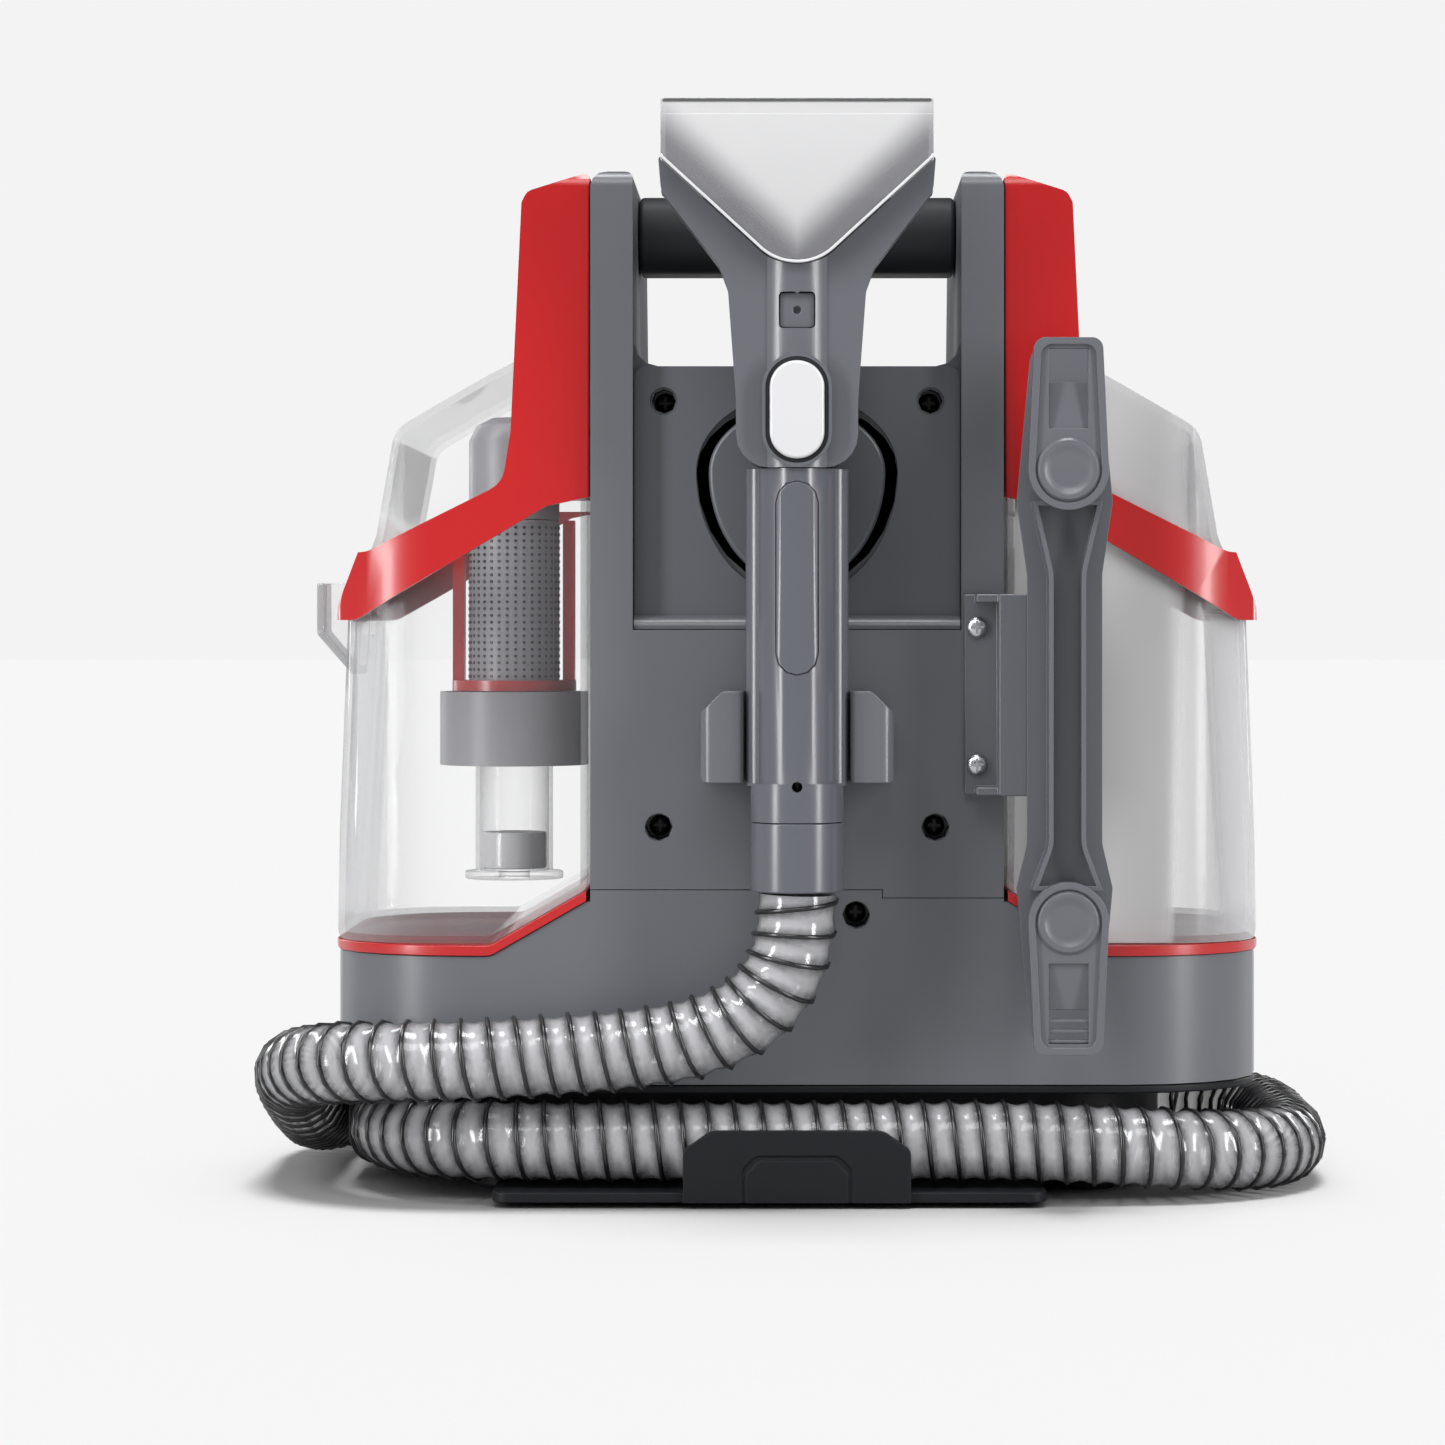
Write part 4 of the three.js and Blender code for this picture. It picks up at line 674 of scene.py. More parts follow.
class Tree:
    """A geometry node tree with named inputs, whose nodes are added one after another."""

    def __init__(self, name, **inputs):
        self.tree = bpy.data.node_groups.new(name, "GeometryNodeTree")
        face = self.tree.interface
        face.new_socket("Geometry", in_out="INPUT", socket_type="NodeSocketGeometry")
        for label, value in inputs.items():
            kind = "NodeSocketInt" if isinstance(value, int) else "NodeSocketFloat"
            face.new_socket(label, in_out="INPUT", socket_type=kind).default_value = value
        face.new_socket("Geometry", in_out="OUTPUT", socket_type="NodeSocketGeometry")
        self.given = self.tree.nodes.new("NodeGroupInput")
        self.result = self.tree.nodes.new("NodeGroupOutput")

    def add(self, kind, settings_of=None, **inputs):
        node = self.tree.nodes.new(kind)
        for key, value in (settings_of or {}).items():
            setattr(node, key, value)
        for label, value in inputs.items():
            spot = int(label[1:]) if label[1:].isdigit() else label.replace("_", " ")
            socket = node.inputs[spot]
            if isinstance(value, bpy.types.NodeSocket):
                self.tree.links.new(value, socket)
            else:
                socket.default_value = value
        return node.outputs[0]

    def input(self, label):
        return self.given.outputs[label]

    def math(self, operation, one, two=0.0):
        return self.add("ShaderNodeMath", {"operation": operation}, i0=one, i1=two)

    def vector(self, operation, one, two):
        return self.add("ShaderNodeVectorMath", {"operation": operation}, i0=one, i1=two)

    def scaled(self, direction, amount):
        node = self.tree.nodes.new("ShaderNodeVectorMath")
        node.operation = "SCALE"
        self.tree.links.new(direction, node.inputs[0])
        self.tree.links.new(amount, node.inputs["Scale"])
        return node.outputs[0]

    def end(self, geometry, material):
        realized = self.add("GeometryNodeRealizeInstances", Geometry=geometry)
        painted = self.add("GeometryNodeSetMaterial", Geometry=realized)
        painted.node.inputs["Material"].default_value = material
        self.tree.links.new(painted, self.result.inputs[0])
        return self.tree


def grow(name, source, tree, **values):
    """Runs a node tree on an object and returns what it makes as a plain mesh object."""
    holder = source.modifiers.new("grow", "NODES")
    holder.node_group = tree
    for item in tree.interface.items_tree:
        if item.in_out == "INPUT" and item.name in values:
            holder[item.identifier] = values[item.name]
    graph = bpy.context.evaluated_depsgraph_get()
    mesh = bpy.data.meshes.new_from_object(source.evaluated_get(graph))
    mesh.name = name
    bpy.data.objects.remove(source)
    return placed(name, mesh)


def points_object(name, points):
    mesh = bpy.data.meshes.new(name)
    mesh.from_pydata([tuple(p) for p in points], [], [])
    return placed(name, mesh)


def curve_object(name, points):
    curve = bpy.data.curves.new(name, "CURVE")
    curve.dimensions = "3D"
    spline = curve.splines.new("POLY")
    spline.points.add(len(points) - 1)
    for point, place in zip(spline.points, points):
        point.co = (*place, 1)
    return placed(name, curve)


# Stage.


# Area lamps: name, place from ORIGIN, width, height and watts.
LAMPS = [
    ("left_strip", (-1.5, -1.1, 0.7), 0.34, 2.0, 46),
    ("right_strip", (1.5, -1.1, 0.7), 0.34, 2.0, 42),
    ("front_panel", (-0.3, -1.7, 2.0), 1.9, 0.9, 30),
    ("left_back_strip", (-1.2, 1.3, 0.9), 0.35, 1.6, 12),
    ("right_back_strip", (1.2, 1.3, 0.9), 0.35, 1.6, 12),
]


def build_stage():
    stage = settings().stage
    scene = bpy.context.scene
    scene.view_settings.view_transform = "Standard"
    camera = placed("camera", bpy.data.cameras.new("camera"))
    camera.location = (ORIGIN.x, TOWER_FRONT - stage.distance, stage.height)
    camera.rotation_euler = (math.pi / 2, 0, 0)
    camera.data.lens = stage.lens
    camera.data.shift_x = stage.shift_x
    camera.data.shift_y = stage.shift_y
    camera.data.clip_end = 50
    scene.camera = camera

    half = stage.floor_half
    floor = object_from("floor", slab(rectangle(-half, half, -half, half), -0.02, 0, "z"))
    paint = new_paint("pale_floor")
    colour = paint.tinted(paint.noise(FLOOR_GRAIN), settings().colours.backdrop, 0.004)
    floor.data.materials.append(paint.finish(Base_Color=colour, Roughness=1, Specular_IOR_Level=0))
    light_the_room()
    light_the_machine(floor)


def light_the_room():
    """A pale backdrop whose light falls mostly from above; glossy pieces mirror a dimmer room."""
    stage = settings().stage
    world = Shading(bpy.data.worlds.new("studio"), "Background")
    bpy.context.scene.world = world.owner
    height = world.axis(world.add("ShaderNodeTexCoord", "Generated"), "Z")
    strength = world.ranged(height, stage.horizon_light, stage.sky_light)
    for ray, level in (("Is Glossy Ray", stage.mirrored_light), ("Is Camera Ray", 1)):
        strength = world.mix(world.add("ShaderNodeLightPath", ray), strength, level, "FLOAT")
    world.finish(Color=settings().colours.backdrop, Strength=strength)
    sun = bpy.data.lights.new("overhead_sun", "SUN")
    sun.energy = stage.overhead
    sun.angle = stage.overhead_angle
    placed("overhead_sun", sun)


def light_the_machine(floor):
    """Area lamps that light the machine and leave the floor alone."""
    without_floor = bpy.data.collections.new("lit_by_lamps")
    without_floor.objects.link(floor)
    without_floor.collection_objects[0].light_linking.link_state = "EXCLUDE"
    for name, place, width, height, power in LAMPS:
        lamp = bpy.data.lights.new(name, "AREA")
        lamp.shape = "RECTANGLE"
        lamp.size = width
        lamp.size_y = height
        lamp.energy = power
        light = placed(name, lamp)
        light.location = ORIGIN + Vector(place)
        aim = Vector((ORIGIN.x, ORIGIN.y, 0.2)) - light.location
        light.rotation_euler = aim.to_track_quat("-Z", "Y").to_euler()
        light.light_linking.receiver_collection = without_floor


# Hose.


def smooth_path(points, step):
    """Points step apart along the smooth curve through the given points."""
    knots = [Vector(p) for p in points]
    knots = [2 * knots[0] - knots[1], *knots, 2 * knots[-1] - knots[-2]]
    fine = []
    for a, b, c, d in zip(knots, knots[1:], knots[2:], knots[3:]):
        t0, t1 = 0.0, (b - a).length ** 0.5
        t2 = t1 + (c - b).length ** 0.5
        t3 = t2 + (d - c).length ** 0.5
        for k in range(24):
            t = t1 + (t2 - t1) * k / 24
            ab = a.lerp(b, (t - t0) / (t1 - t0))
            bc = b.lerp(c, (t - t1) / (t2 - t1))
            cd = c.lerp(d, (t - t2) / (t3 - t2))
            abc = ab.lerp(bc, (t - t0) / (t2 - t0))
            bcd = bc.lerp(cd, (t - t1) / (t3 - t1))
            fine.append(abc.lerp(bcd, (t - t1) / (t2 - t1)))
    fine.append(knots[-2])
    even, left = [fine[0]], step
    for a, b in zip(fine, fine[1:]):
        span = (b - a).length
        while span >= left:
            a = a.lerp(b, left / span)
            even.append(a)
            span -= left
            left = step
        left -= span
    return even


def hose_tree(name, material, step, wire):
    """The hose's wall, or its wire rib where wire is true, along a curve."""
    sizes = settings().hose
    tree = Tree(name, Radius=sizes.diameter / 2, Pitch=sizes.pitch, Depth=sizes.bulge, Wire=sizes.wire)
    line = tree.add("GeometryNodeResampleCurve", {"mode": "LENGTH"}, Curve=tree.given.outputs[0], Length=step)
    along = tree.tree.nodes.new("GeometryNodeSplineParameter").outputs["Length"]
    turns = tree.math("DIVIDE", along, tree.input("Pitch"))
    full_turn = 2 * math.pi
    if wire:
        angle = tree.math("MULTIPLY", turns, full_turn)
        normal = tree.add("GeometryNodeInputNormal")
        tangent = tree.add("GeometryNodeInputTangent")
        across = tree.vector("CROSS_PRODUCT", tangent, normal)
        reach = tree.input("Radius")
        out = tree.vector(
            "ADD",
            tree.scaled(normal, tree.math("MULTIPLY", tree.math("COSINE", angle), reach)),
            tree.scaled(across, tree.math("MULTIPLY", tree.math("SINE", angle), reach)),
        )
        coil = tree.add("GeometryNodeSetPosition", Geometry=line, Offset=out)
        ring = tree.add("GeometryNodeCurvePrimitiveCircle", Resolution=6, Radius=tree.input("Wire"))
        swept = tree.add("GeometryNodeCurveToMesh", Curve=coil, Profile_Curve=ring, Fill_Caps=True)
    else:
        store = {"data_type": "FLOAT", "domain": "POINT"}
        line = tree.add("GeometryNodeStoreNamedAttribute", store, Geometry=line, Name="turns", Value=turns)
        ring = tree.add("GeometryNodeCurvePrimitiveCircle", Resolution=24, Radius=tree.input("Radius"))
        around = tree.tree.nodes.new("GeometryNodeSplineParameter").outputs["Factor"]
        ring = tree.add("GeometryNodeStoreNamedAttribute", store, Geometry=ring, Name="around", Value=around)
        swept = tree.add("GeometryNodeCurveToMesh", Curve=line, Profile_Curve=ring, Fill_Caps=True)
        read = {"data_type": "FLOAT"}
        phase = tree.math(
            "SUBTRACT",
            tree.add("GeometryNodeInputNamedAttribute", read, Name="turns"),
            tree.add("GeometryNodeInputNamedAttribute", read, Name="around"),
        )
        wave = tree.math("COSINE", tree.math("MULTIPLY", phase, full_turn))
        swept = tree.add("GeometryNodeStoreNamedAttribute", store, Geometry=swept, Name="wave", Value=wave)
        wave = tree.add("GeometryNodeInputNamedAttribute", read, Name="wave")
        swell = tree.math("MULTIPLY", wave, tree.input("Depth"))
        swell = tree.scaled(tree.add("GeometryNodeInputNormal"), swell)
        swept = tree.add("GeometryNodeSetPosition", Geometry=swept, Offset=swell)
    shaded = tree.add("GeometryNodeSetShadeSmooth", Geometry=swept)
    return tree.end(shaded, material)


def build_hose():
    sizes = settings().hose
    route = smooth_path([ORIGIN + Vector(p) for p in HOSE_ROUTE], 0.002)
    reach = sizes.diameter / 2 - sizes.wire
    wall, rib = (
        grow(name, curve_object("route", route), hose_tree(name, MATERIALS[paint], step, wire), Radius=radius)
        for name, paint, radius, step, wire in (
            ("hose_wall", "hose_clear", reach - sizes.wall_inside, sizes.wall_step, False),
            ("hose_rib", "rib_black", reach, sizes.wire_step, True),
        )
    )
    for piece in (wall, rib):
        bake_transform(piece)
    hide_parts("hose")


# Shells.


def build_base():
    sizes = settings().moulding
    shell = combine("base_shell_moulding", copy_of("base_shell"), *screw_mouths((5,), TOWER_FRONT))
    round_edges(shell, sizes.shell_edge)
    dress(shell, "base_shell")
    for node in ("bottom_pan", "hose_clip", "hose_port"):
        moulding(node, sizes.edge)
    for node in ("foot_1", "foot_2", "foot_3", "foot_4", "seat_trim_left", "seat_trim_right"):
        moulding(node, sizes.small_edge)


def egg_outline(grown=0.0):
    """The egg-shaped plate seen from the front, grown all round."""
    dial = settings().dial
    points = []
    for u, v in circle(1, 96):
        reach = (dial.above if v > 0 else dial.below) + grown
        points.append(((dial.half_width + grown) * u, dial.height + reach * v))
    return points


def screw_mouths(numbers, face):
    """Cuts that make the mouths of the numbered screw holes round, in a front at the given Y."""
    sizes = settings().panel
    outline = circle(sizes.mouth, 48)
    places = [middle(f"housing_screw_{number}") * Vector((1, 0, 1)) for number in numbers]
    return [("cut", slab(outline, face - PAST, face + sizes.mouth_depth, "y", place)) for place in places]


def build_tower():
    sizes, panel, dial = settings().moulding, settings().panel, settings().dial
    front = combine("tower_front_moulding", copy_of("tower_front"), *screw_mouths((1, 2), TOWER_FRONT))
    round_edges(front, sizes.shell_edge)
    dress(front, "tower_front")
    moulding("tower_back", sizes.shell_edge)
    low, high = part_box("front_panel")
    face = low.y
    round_face = [
        (face - panel.lip_out * math.cos(a), low.z + panel.lip_foot + panel.lip_rise * math.sin(a))
        for a in [math.pi / 2 * k / 8 for k in range(9)]
    ]
    top = low.z + panel.lip_foot + panel.lip_rise
    rolled = [(face + 0.001, low.z), (face - panel.lip_out, low.z), *round_face, (face + 0.001, top)]
    place = Vector((ORIGIN.x, face, 0))
    made = combine(
        "front_panel_moulding",
        copy_of("front_panel"),
        ("join", slab(rolled, low.x, high.x, "x")),
        ("cut", slab(egg_outline(dial.gap), -0.01, dial.depth, "y", place)),
        *screw_mouths((3, 4), face),
    )
    round_edges(made, 0.001)
    dress(made, "front_panel")
    plate = object_from("dial_plate", slab(egg_outline(), dial.sunk, dial.sunk + dial.thickness, "y", place))
    round_edges(plate, dial.edge, 4)
    attach(plate, "front_panel")
    moulding("handle_grip", 0.002, 4)
    moulding("exhaust_grille", sizes.fine_edge, 2)
    moulding("power_button", sizes.edge)


def build_frames():
    for node in ("dirty_frame", "clean_frame"):
        moulding(node, settings().moulding.shell_edge, 4)


def build_tanks():
    sizes = settings().moulding
    for node in ("dirty_tank", "clean_tank"):
        moulding(node, sizes.shell_edge)
    moulding("spout", sizes.thin_edge, material="spout_clear")
    moulding("spout_flap", sizes.thin_edge)
    moulding("clean_cap", sizes.small_edge)


def screen_tree(screen_radius):
    """Rows of small holes round an upright screen, each row turned by half a hole."""
    tree = Tree("screen_holes", Columns=34, Rows=24, Radius=screen_radius, Pitch=0.0026, Hole=0.00062)
    index = tree.add("GeometryNodeInputIndex")
    share = tree.math("DIVIDE", index, tree.input("Columns"))
    row = tree.math("FLOOR", share)
    angle = tree.math("MULTIPLY", tree.math("ADD", share, tree.math("MULTIPLY", row, 0.5)), 2 * math.pi)
    place = tree.add(
        "ShaderNodeCombineXYZ",
        X=tree.math("MULTIPLY", tree.math("COSINE", angle), tree.input("Radius")),
        Y=tree.math("MULTIPLY", tree.math("SINE", angle), tree.input("Radius")),
        Z=tree.math("MULTIPLY", row, tree.input("Pitch")),
    )
    count = tree.math("MULTIPLY", tree.input("Columns"), tree.input("Rows"))
    dots = tree.add("GeometryNodePoints", Count=count, Position=place)
    hole = tree.add("GeometryNodeMeshCylinder", Vertices=8, Radius=tree.input("Hole"), Depth=0.0004)
    turned = tree.add("ShaderNodeCombineXYZ", Y=math.pi / 2, Z=angle)
    return tree, tree.add("GeometryNodeInstanceOnPoints", Points=dots, Instance=hole, Rotation=turned)


def build_separator():
    sizes = settings().moulding
    for node in ("separator_cap", "separator_screen", "separator_rails", "separator_cup", "float_cage"):
        moulding(node, sizes.thin_edge)
    moulding("float", sizes.thin_edge, material="white_gloss")
    low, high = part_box("separator_screen")
    tree, holes = screen_tree((high.x - low.x) / 2)
    start = Vector((*middle("separator_screen").xy, low.z + 0.003))
    holes = tree.add("GeometryNodeTransform", Geometry=holes, Translation=start)
    holes = grow("screen_holes", points_object("holder", [start]), tree.end(holes, MATERIALS["black_steel"]))
    attach(holes, "separator_screen", material="black_steel")


def build_wand():
    sizes = settings().moulding
    moulding("wand_body", sizes.fine_edge)
    moulding("hose_cuff", sizes.small_edge)
    moulding("trigger", sizes.small_edge)
    moulding("grip_pad", sizes.thin_edge, material="wand_grey")


def nozzle_outline(inset=0.0, top=None):
    """The nozzle seen from the front, from the rounded point of its V up to its top."""
    nozzle = settings().nozzle
    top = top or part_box("nozzle_window")[1].z
    half = nozzle.half_width - inset
    point = nozzle.point + inset * math.hypot(1, nozzle_slope())
    mouth = point + half * nozzle_slope()
    corners = [(0, point, nozzle.roundness - inset), (half, mouth), (half, top), (-half, top), (-half, mouth)]
    return arc_points(corners, 4)


def oval(half_width):
    """The release button's upright outline, drawn to another half width."""
    low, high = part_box("release_button")
    grown = half_width - (high.x - low.x) / 2
    corners = rectangle(-half_width, half_width, low.z - grown, high.z + grown)
    return arc_points([(*corner, half_width - 0.0002) for corner in corners], 6)


def barrel_cuts(axis):
    """Cuts that round the front of the tool's grip and leave a flat shoulder on each side."""
    tool = settings().tool
    start = math.asin((tool.shoulder - tool.barrel_forward) / tool.barrel)
    end = math.radians(84)
    turns = [start + (end - start) * k / 8 for k in range(1, 9)]
    far, bottom, top = -0.04, 0.26, 0.4
    outlines = []
    for side in (-1, 1):
        corner = [(side * 0.06, far), (side * 0.06, 0.001 - tool.shoulder), (side * 0.0106, -tool.shoulder)]
        ring = [(side * tool.barrel * math.cos(a), tool.barrel * math.sin(a)) for a in turns]
        curve = [(u, -tool.barrel_forward - v) for u, v in ring]
        outlines.append([*corner, *curve, (side * 0.0014, far)])
    outlines.append(rectangle(-0.002, 0.002, far, -tool.front))
    return [("cut", slab(outline, bottom, top, "z", axis)) for outline in outlines]


def build_tool_body(place):
    """The tool's grip, whose arms hold the nozzle in a V, with a collar round the release button."""
    tool, nozzle = settings().tool, settings().nozzle
    low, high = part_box("tool_body")
    half, point, mouth = nozzle.half_width, nozzle.point, nozzle.mouth
    arms = [
        (-half, mouth), (0, point), (half, mouth), (half, mouth - tool.arm), (0, point - tool.arm_point),
        (-half, mouth - tool.arm),
    ]
    face = WAND_AXIS.y - tool.collar_forward
    body = combine(
        "tool_body_moulding",
        copy_of("tool_body"),
        ("join", slab(arms, low.y + tool.arm_front, high.y - tool.arm_back, "y", place)),
        *barrel_cuts(place + Vector((0, WAND_AXIS.y, 0))),
        ("cut", slab(nozzle_outline(-0.0004), low.y - 0.01, low.y + 0.06, "y", place)),
        ("join", slab(oval(tool.collar), face, face + tool.collar_depth, "y", place)),
        ("cut", slab(oval(tool.collar_hole), face - PAST, face + tool.hole_depth, "y", place)),
    )
    round_edges(body, 0.0009)
    dress(body, "tool_body")
    gasket = combine(
        "button_gasket",
        slab(oval(tool.gasket), face + 0.0002, face + 0.0049, "y", place),
        ("cut", slab(oval(tool.gasket_hole), face - 0.002, face + 0.01, "y", place)),
    )
    round_edges(gasket, 0.0002, 2)
    attach(gasket, "tool_body", "black_rubber")


# Ribs in each half of the nozzle: number, place beside its middle, bottom and top.
NOZZLE_RIBS = [(1, 0.0047, 0.3425, 0.352), (2, 0.0225, 0.356, 0.3635)]


def build_nozzle(place):
    """The clear nozzle, with its inner ribs, its bright rim and its dark lip."""
    sizes = settings().nozzle
    low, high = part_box("nozzle_window")
    across = 0.06
    hollow = nozzle_outline(sizes.wall, sizes.beyond)
    thinned = rectangle(-across, across, sizes.step, sizes.beyond)
    nozzle = combine(
        "nozzle_window_moulding",
        slab(nozzle_outline(), low.y, high.y, "y", place),
        ("cut", slab(hollow, low.y + sizes.wall, high.y - sizes.wall, "y", place)),
        ("cut", slab(thinned, low.y - 0.01, low.y + 0.0006, "y", place)),
    )
    round_edges(nozzle, settings().moulding.fine_edge, 2)
    dress(nozzle, "nozzle_window", "nozzle_clear")
    inside = (low.y + sizes.rib_inside, high.y - sizes.rib_inside)
    for number, x, bottom, top in NOZZLE_RIBS:
        for side, name in ((-1, "left"), (1, "right")):
            outline = rectangle(side * x - sizes.rib, side * x + sizes.rib, bottom, top)
            rib = object_from(f"nozzle_rib_{number}_{name}", slab(outline, *inside, "y", place))
            round_edges(rib, 0.0002, 2)
            attach(rib, "nozzle_window")
    above = rectangle(-across, across, sizes.mouth + 0.001, sizes.beyond)
    through = (low.y - PAST, low.y + sizes.rim_depth + PAST)
    # The rim is a pale strip along the V: a painted highlight on the nozzle's edge.
    rim = combine(
        "nozzle_rim",
        slab(nozzle_outline(-sizes.rim_out), low.y - sizes.rim_out, low.y + sizes.rim_depth, "y", place),
        ("cut", slab(nozzle_outline(sizes.rim_in), *through, "y", place)),
        ("cut", slab(above, *through, "y", place)),
    )
    edge = rectangle(-sizes.lip_half, sizes.lip_half, high.z - sizes.lip, high.z)
    lip = object_from("nozzle_lip", slab(edge, low.y, low.y + sizes.lip_depth, "y", place))
    for piece, material in ((rim, "nozzle_edge"), (lip, "nozzle_lip")):
        round_edges(piece, 0.0003, 2)
        attach(piece, "nozzle_window", material=material)


def build_tool():
    place = Vector((ORIGIN.x, 0, 0))
    build_tool_body(place)
    build_nozzle(place)
    low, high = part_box("release_button")
    outline = oval(settings().tool.button)
    cap = object_from("release_button_moulding", slab(outline, low.y, high.y, "y", place))
    round_edges(cap, 0.0012, 5)
    dress(cap, "release_button")
    moulding("spray_tip", settings().moulding.fine_edge)


def tapered_plate(radius, reach, half_width, corner, inset=0.0):
    """An outline round (0, 0) that tapers to a square end with rounded corners, reach away."""
    radius -= inset
    reach -= inset
    half_width -= inset
    lean = math.asin((radius - half_width) / reach)
    turns = [lean - (math.pi + 2 * lean) * k / 36 for k in range(37)]
    pin_end = [(radius * math.cos(a), radius * math.sin(a)) for a in turns]
    return arc_points([*pin_end, (-half_width, reach, corner), (half_width, reach, corner)])


# The dished boss over a hook's pin: radius, and depth behind the hook's front.
BOSS = [
    (0, 0.0016), (0.0045, 0.0015), (0.0068, 0.0011), (0.0083, 0.0004), (0.0093, 0), (0.0104, 0.0001),
    (0.0113, 0.0009),
]


def build_hook(node, way, ribs=0):
    """A swivel hook: a rimmed plate with a dished boss over its pin and a slot with a sloping tab."""
    hook = settings().hook
    low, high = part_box(node)
    pin = low.z + hook.radius if way > 0 else high.z - hook.radius
    place = Vector((middle(node).x, 0, pin))
    front, back = low.y, low.y + hook.thickness

    def outline(inset):
        plate = tapered_plate(hook.radius, hook.reach, hook.half_width, 0.004, inset)
        return [(u, way * v) for u, v in plate]

    def side_cut(points, half):
        return slab([(y, way * z) for y, z in points], -half, half, "x", place)

    field = slab(outline(hook.rim), front - PAST, front + hook.field, "y", place)
    dish = [(radius, front + depth) for radius, depth in BOSS]
    pin_radius = 0.0035
    pin_side = [(BOSS[-1][0], back), (pin_radius, back), (pin_radius, high.y), (0, high.y)]
    boss = lathe([*dish, *pin_side], place, 72, "y")
    face = front + hook.field
    pocket = side_cut([(front - 0.002, 0.0146), (face + 0.0012, 0.0146), (face + 0.0036, 0.0312),
                       (back + 0.001, 0.0312), (back + 0.001, hook.slot_end), (front - 0.002, hook.slot_end)],
                      hook.slot_half)
    steps = [("cut", field), ("join", boss), ("cut", pocket)]
    plate = combine(node + "_moulding", slab(outline(0), front, back, "y", place), *steps)
    for k in range(ribs):
        bar = 0.0345 + 0.0036 * k
        shape = side_cut([(face + 0.001, bar), (back - 0.001, bar), (back - 0.001, bar + 0.0011),
                          (face + 0.001, bar + 0.0011)], hook.slot_half + 0.0004)
        plate = join_shape(plate, shape)
    round_edges(plate, 0.0007, harden=True)
    dress(plate, node)


def join_shape(piece, shape):
    """Adds a separate solid's faces to a piece's mesh."""
    bmesh.ops.recalc_face_normals(shape, faces=shape.faces)
    added = bpy.data.meshes.new("added")
    shape.to_mesh(added)
    shape.free()
    whole = bmesh.new()
    whole.from_mesh(piece.data)
    whole.from_mesh(added)
    whole.to_mesh(piece.data)
    whole.free()
    bpy.data.meshes.remove(added)
    return piece


def build_cord_wrap():
    moulding("wand_cradle", 0.0026, 5)
    moulding("wrap_bracket", settings().moulding.small_edge)
    moulding("wrap_post", 0.0007)
    build_hook("upper_hook", 1)
    build_hook("lower_hook", -1, ribs=3)


def build_screw(node, material):
    """A pan-head screw with a cross recess, its head to the front."""
    screw = settings().screw
    low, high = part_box(node)
    place = middle(node) * Vector((1, 0, 1))
    head = screw.head
    profile = [(0, low.y)]
    for k in range(1, 7):
        angle = math.pi / 2 * k / 6
        profile.append((screw.radius * math.sin(angle), low.y + head * 0.8 * (1 - math.cos(angle))))
    profile += [(screw.radius, low.y + head), (screw.shank, low.y + head), (screw.shank, high.y), (0, high.y)]
    arm, half = screw.radius * 0.62, 0.00045
    bars = [rectangle(-arm, arm, -half, half), rectangle(-half, half, -arm, arm)]
    steps = [("cut", slab(bar, low.y - PAST, low.y + 0.0013, "y", place)) for bar in bars]
    made = combine(node + "_turned", lathe(profile, place, 40, "y"), *steps)
    made.data.shade_smooth()
    made.data.set_sharp_from_angle(angle=math.radians(30))
    dress(made, node, material)


def build_screws():
    for i in range(1, 6):
        build_screw(f"housing_screw_{i}", "black_steel")
    for i in (1, 2):
        build_screw(f"bracket_screw_{i}", "zinc_steel")


def build_inner_works():
    rotating = ("motor", "motor_shaft", "fan_housing", "fan_impeller")
    for node in (*rotating, "suction_duct", "water_pump", "pump_tube"):
        moulding(node, settings().moulding.thin_edge)


# Operators.


class Maker:
    """What every operator of this add-on shares."""

    bl_options = {"REGISTER", "UNDO"}


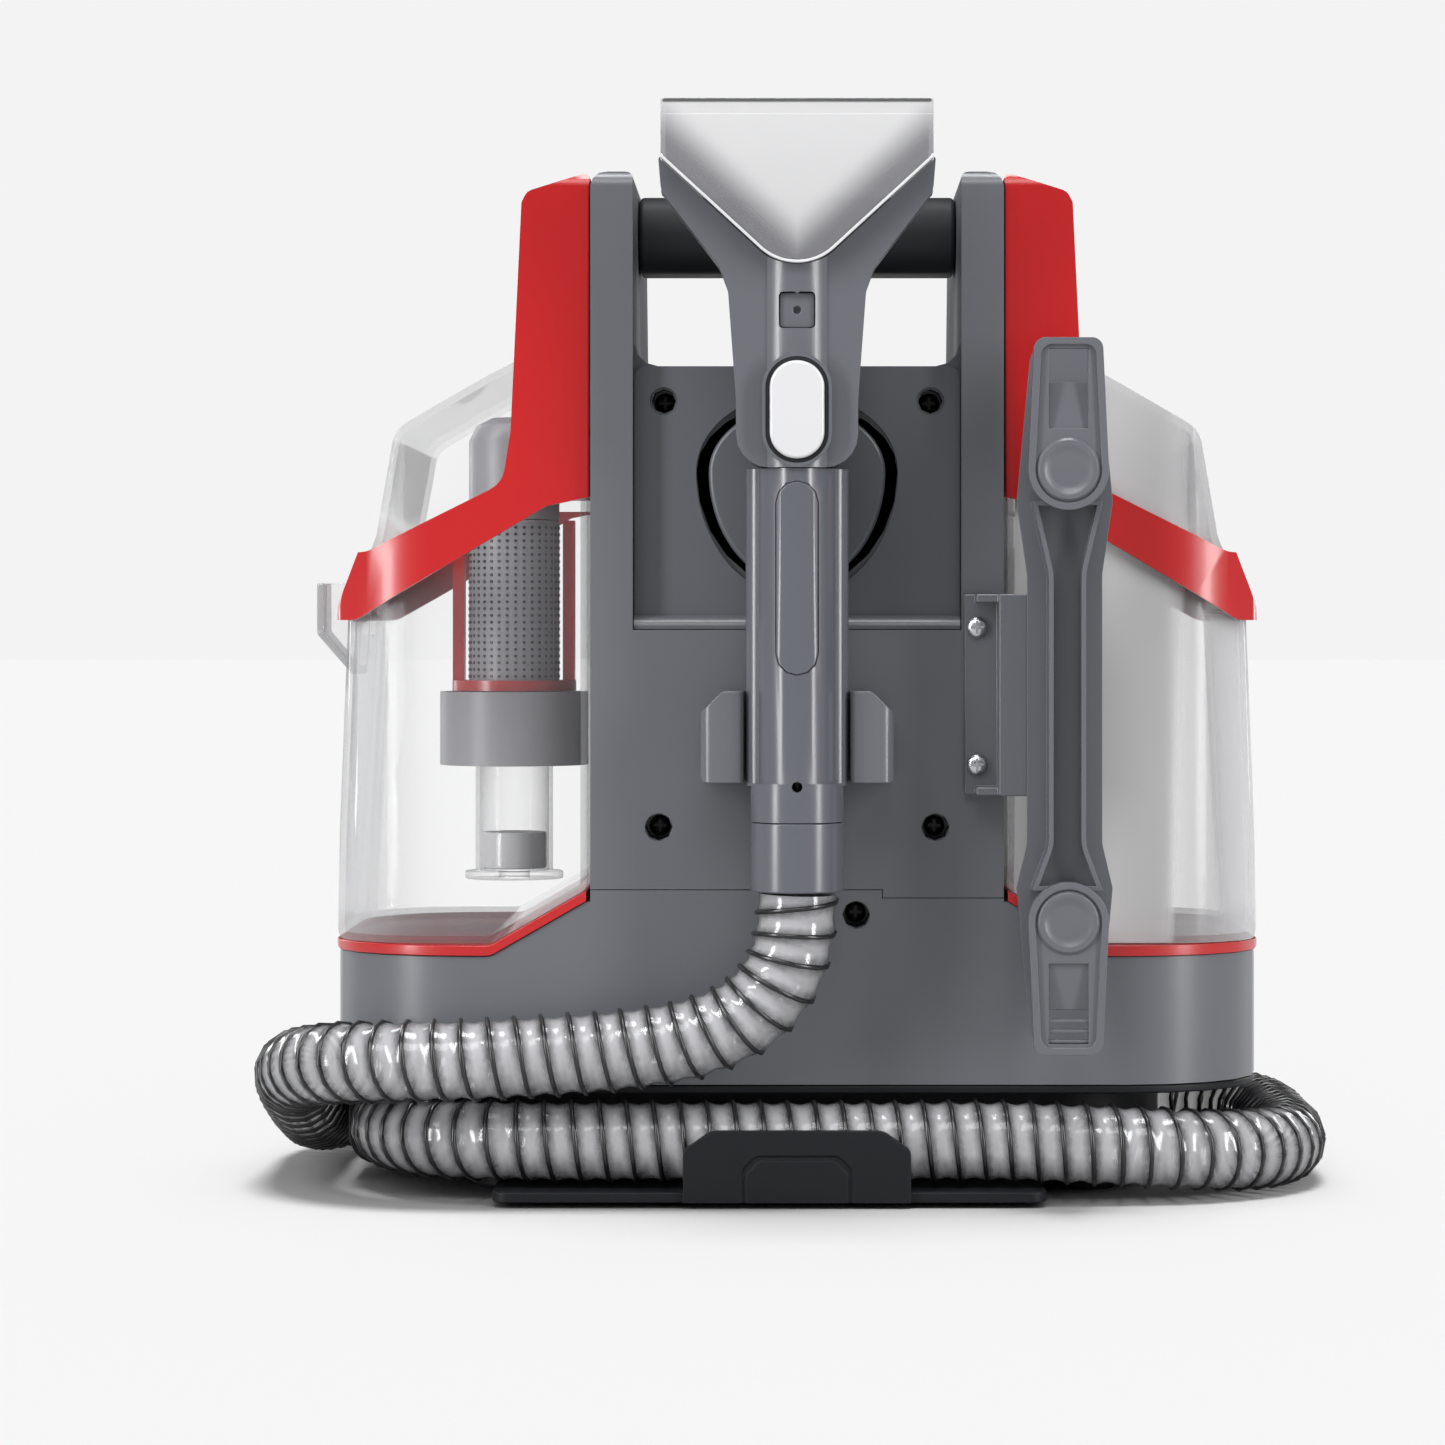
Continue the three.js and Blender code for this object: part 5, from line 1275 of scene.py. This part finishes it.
def maker(identifier, label, about, build):
    """An operator class that runs one build function."""
    def execute(self, context):
        build()
        return {"FINISHED"}

    name = "CLEANER_OT_" + identifier
    return type(name, (Maker, bpy.types.Operator), {
        "__doc__": about,
        "bl_idname": "cleaner." + identifier,
        "bl_label": label,
        "execute": execute,
    })


OPERATORS = [
    maker("stage", "Stage", "Camera, floor and studio light", build_stage),
    maker("hose", "Hose", "Clear hose with its wire rib", build_hose),
    maker("base", "Base", "Base shell, pan, seats, tray and feet", build_base),
    maker("tower", "Tower", "Tower shells, front panel, handle and rear", build_tower),
    maker("frames", "Tank frames", "Red frames round the tanks", build_frames),
    maker("tanks", "Tanks", "Clear tanks with the spout and caps", build_tanks),
    maker("separator", "Separator", "Separator column in the dirty tank", build_separator),
    maker("wand", "Wand", "Wand with its pad, trigger and cuff", build_wand),
    maker("tool", "Spot tool", "Spot tool with its button and nozzle", build_tool),
    maker("cord_wrap", "Cord wrap", "Cradle, bracket, post and hooks", build_cord_wrap),
    maker("screws", "Screws", "Screws in the housing and the bracket", build_screws),
    maker("inner_works", "Inner works", "Motor, fan, duct and pump", build_inner_works),
]


class CLEANER_PT_panel(bpy.types.Panel):
    """Lists the steps that build the machine."""

    bl_label = "Carpet cleaner"
    bl_idname = "CLEANER_PT_panel"
    bl_space_type = "VIEW_3D"
    bl_region_type = "UI"
    bl_category = "Carpet cleaner"

    def draw(self, context):
        for operator in OPERATORS:
            self.layout.operator(operator.bl_idname)


CLASSES = [
    HoseSizes, MouldingSizes, Colours, StageSizes, PanelSizes, DialSizes, NozzleSizes, ToolSizes, HookSizes,
    ScrewSizes, MachineSettings, *OPERATORS, CLEANER_PT_panel,
]


def register():
    for item in CLASSES:
        bpy.utils.register_class(item)
    bpy.types.Scene.carpet_cleaner = PointerProperty(type=MachineSettings)


def unregister():
    del bpy.types.Scene.carpet_cleaner
    for item in reversed(CLASSES):
        bpy.utils.unregister_class(item)


def main():
    register()
    MATERIALS.update(make_materials())
    for operator in OPERATORS:
        getattr(bpy.ops.cleaner, operator.bl_idname.split(".")[1])()


if __name__ == "__main__":
    main()
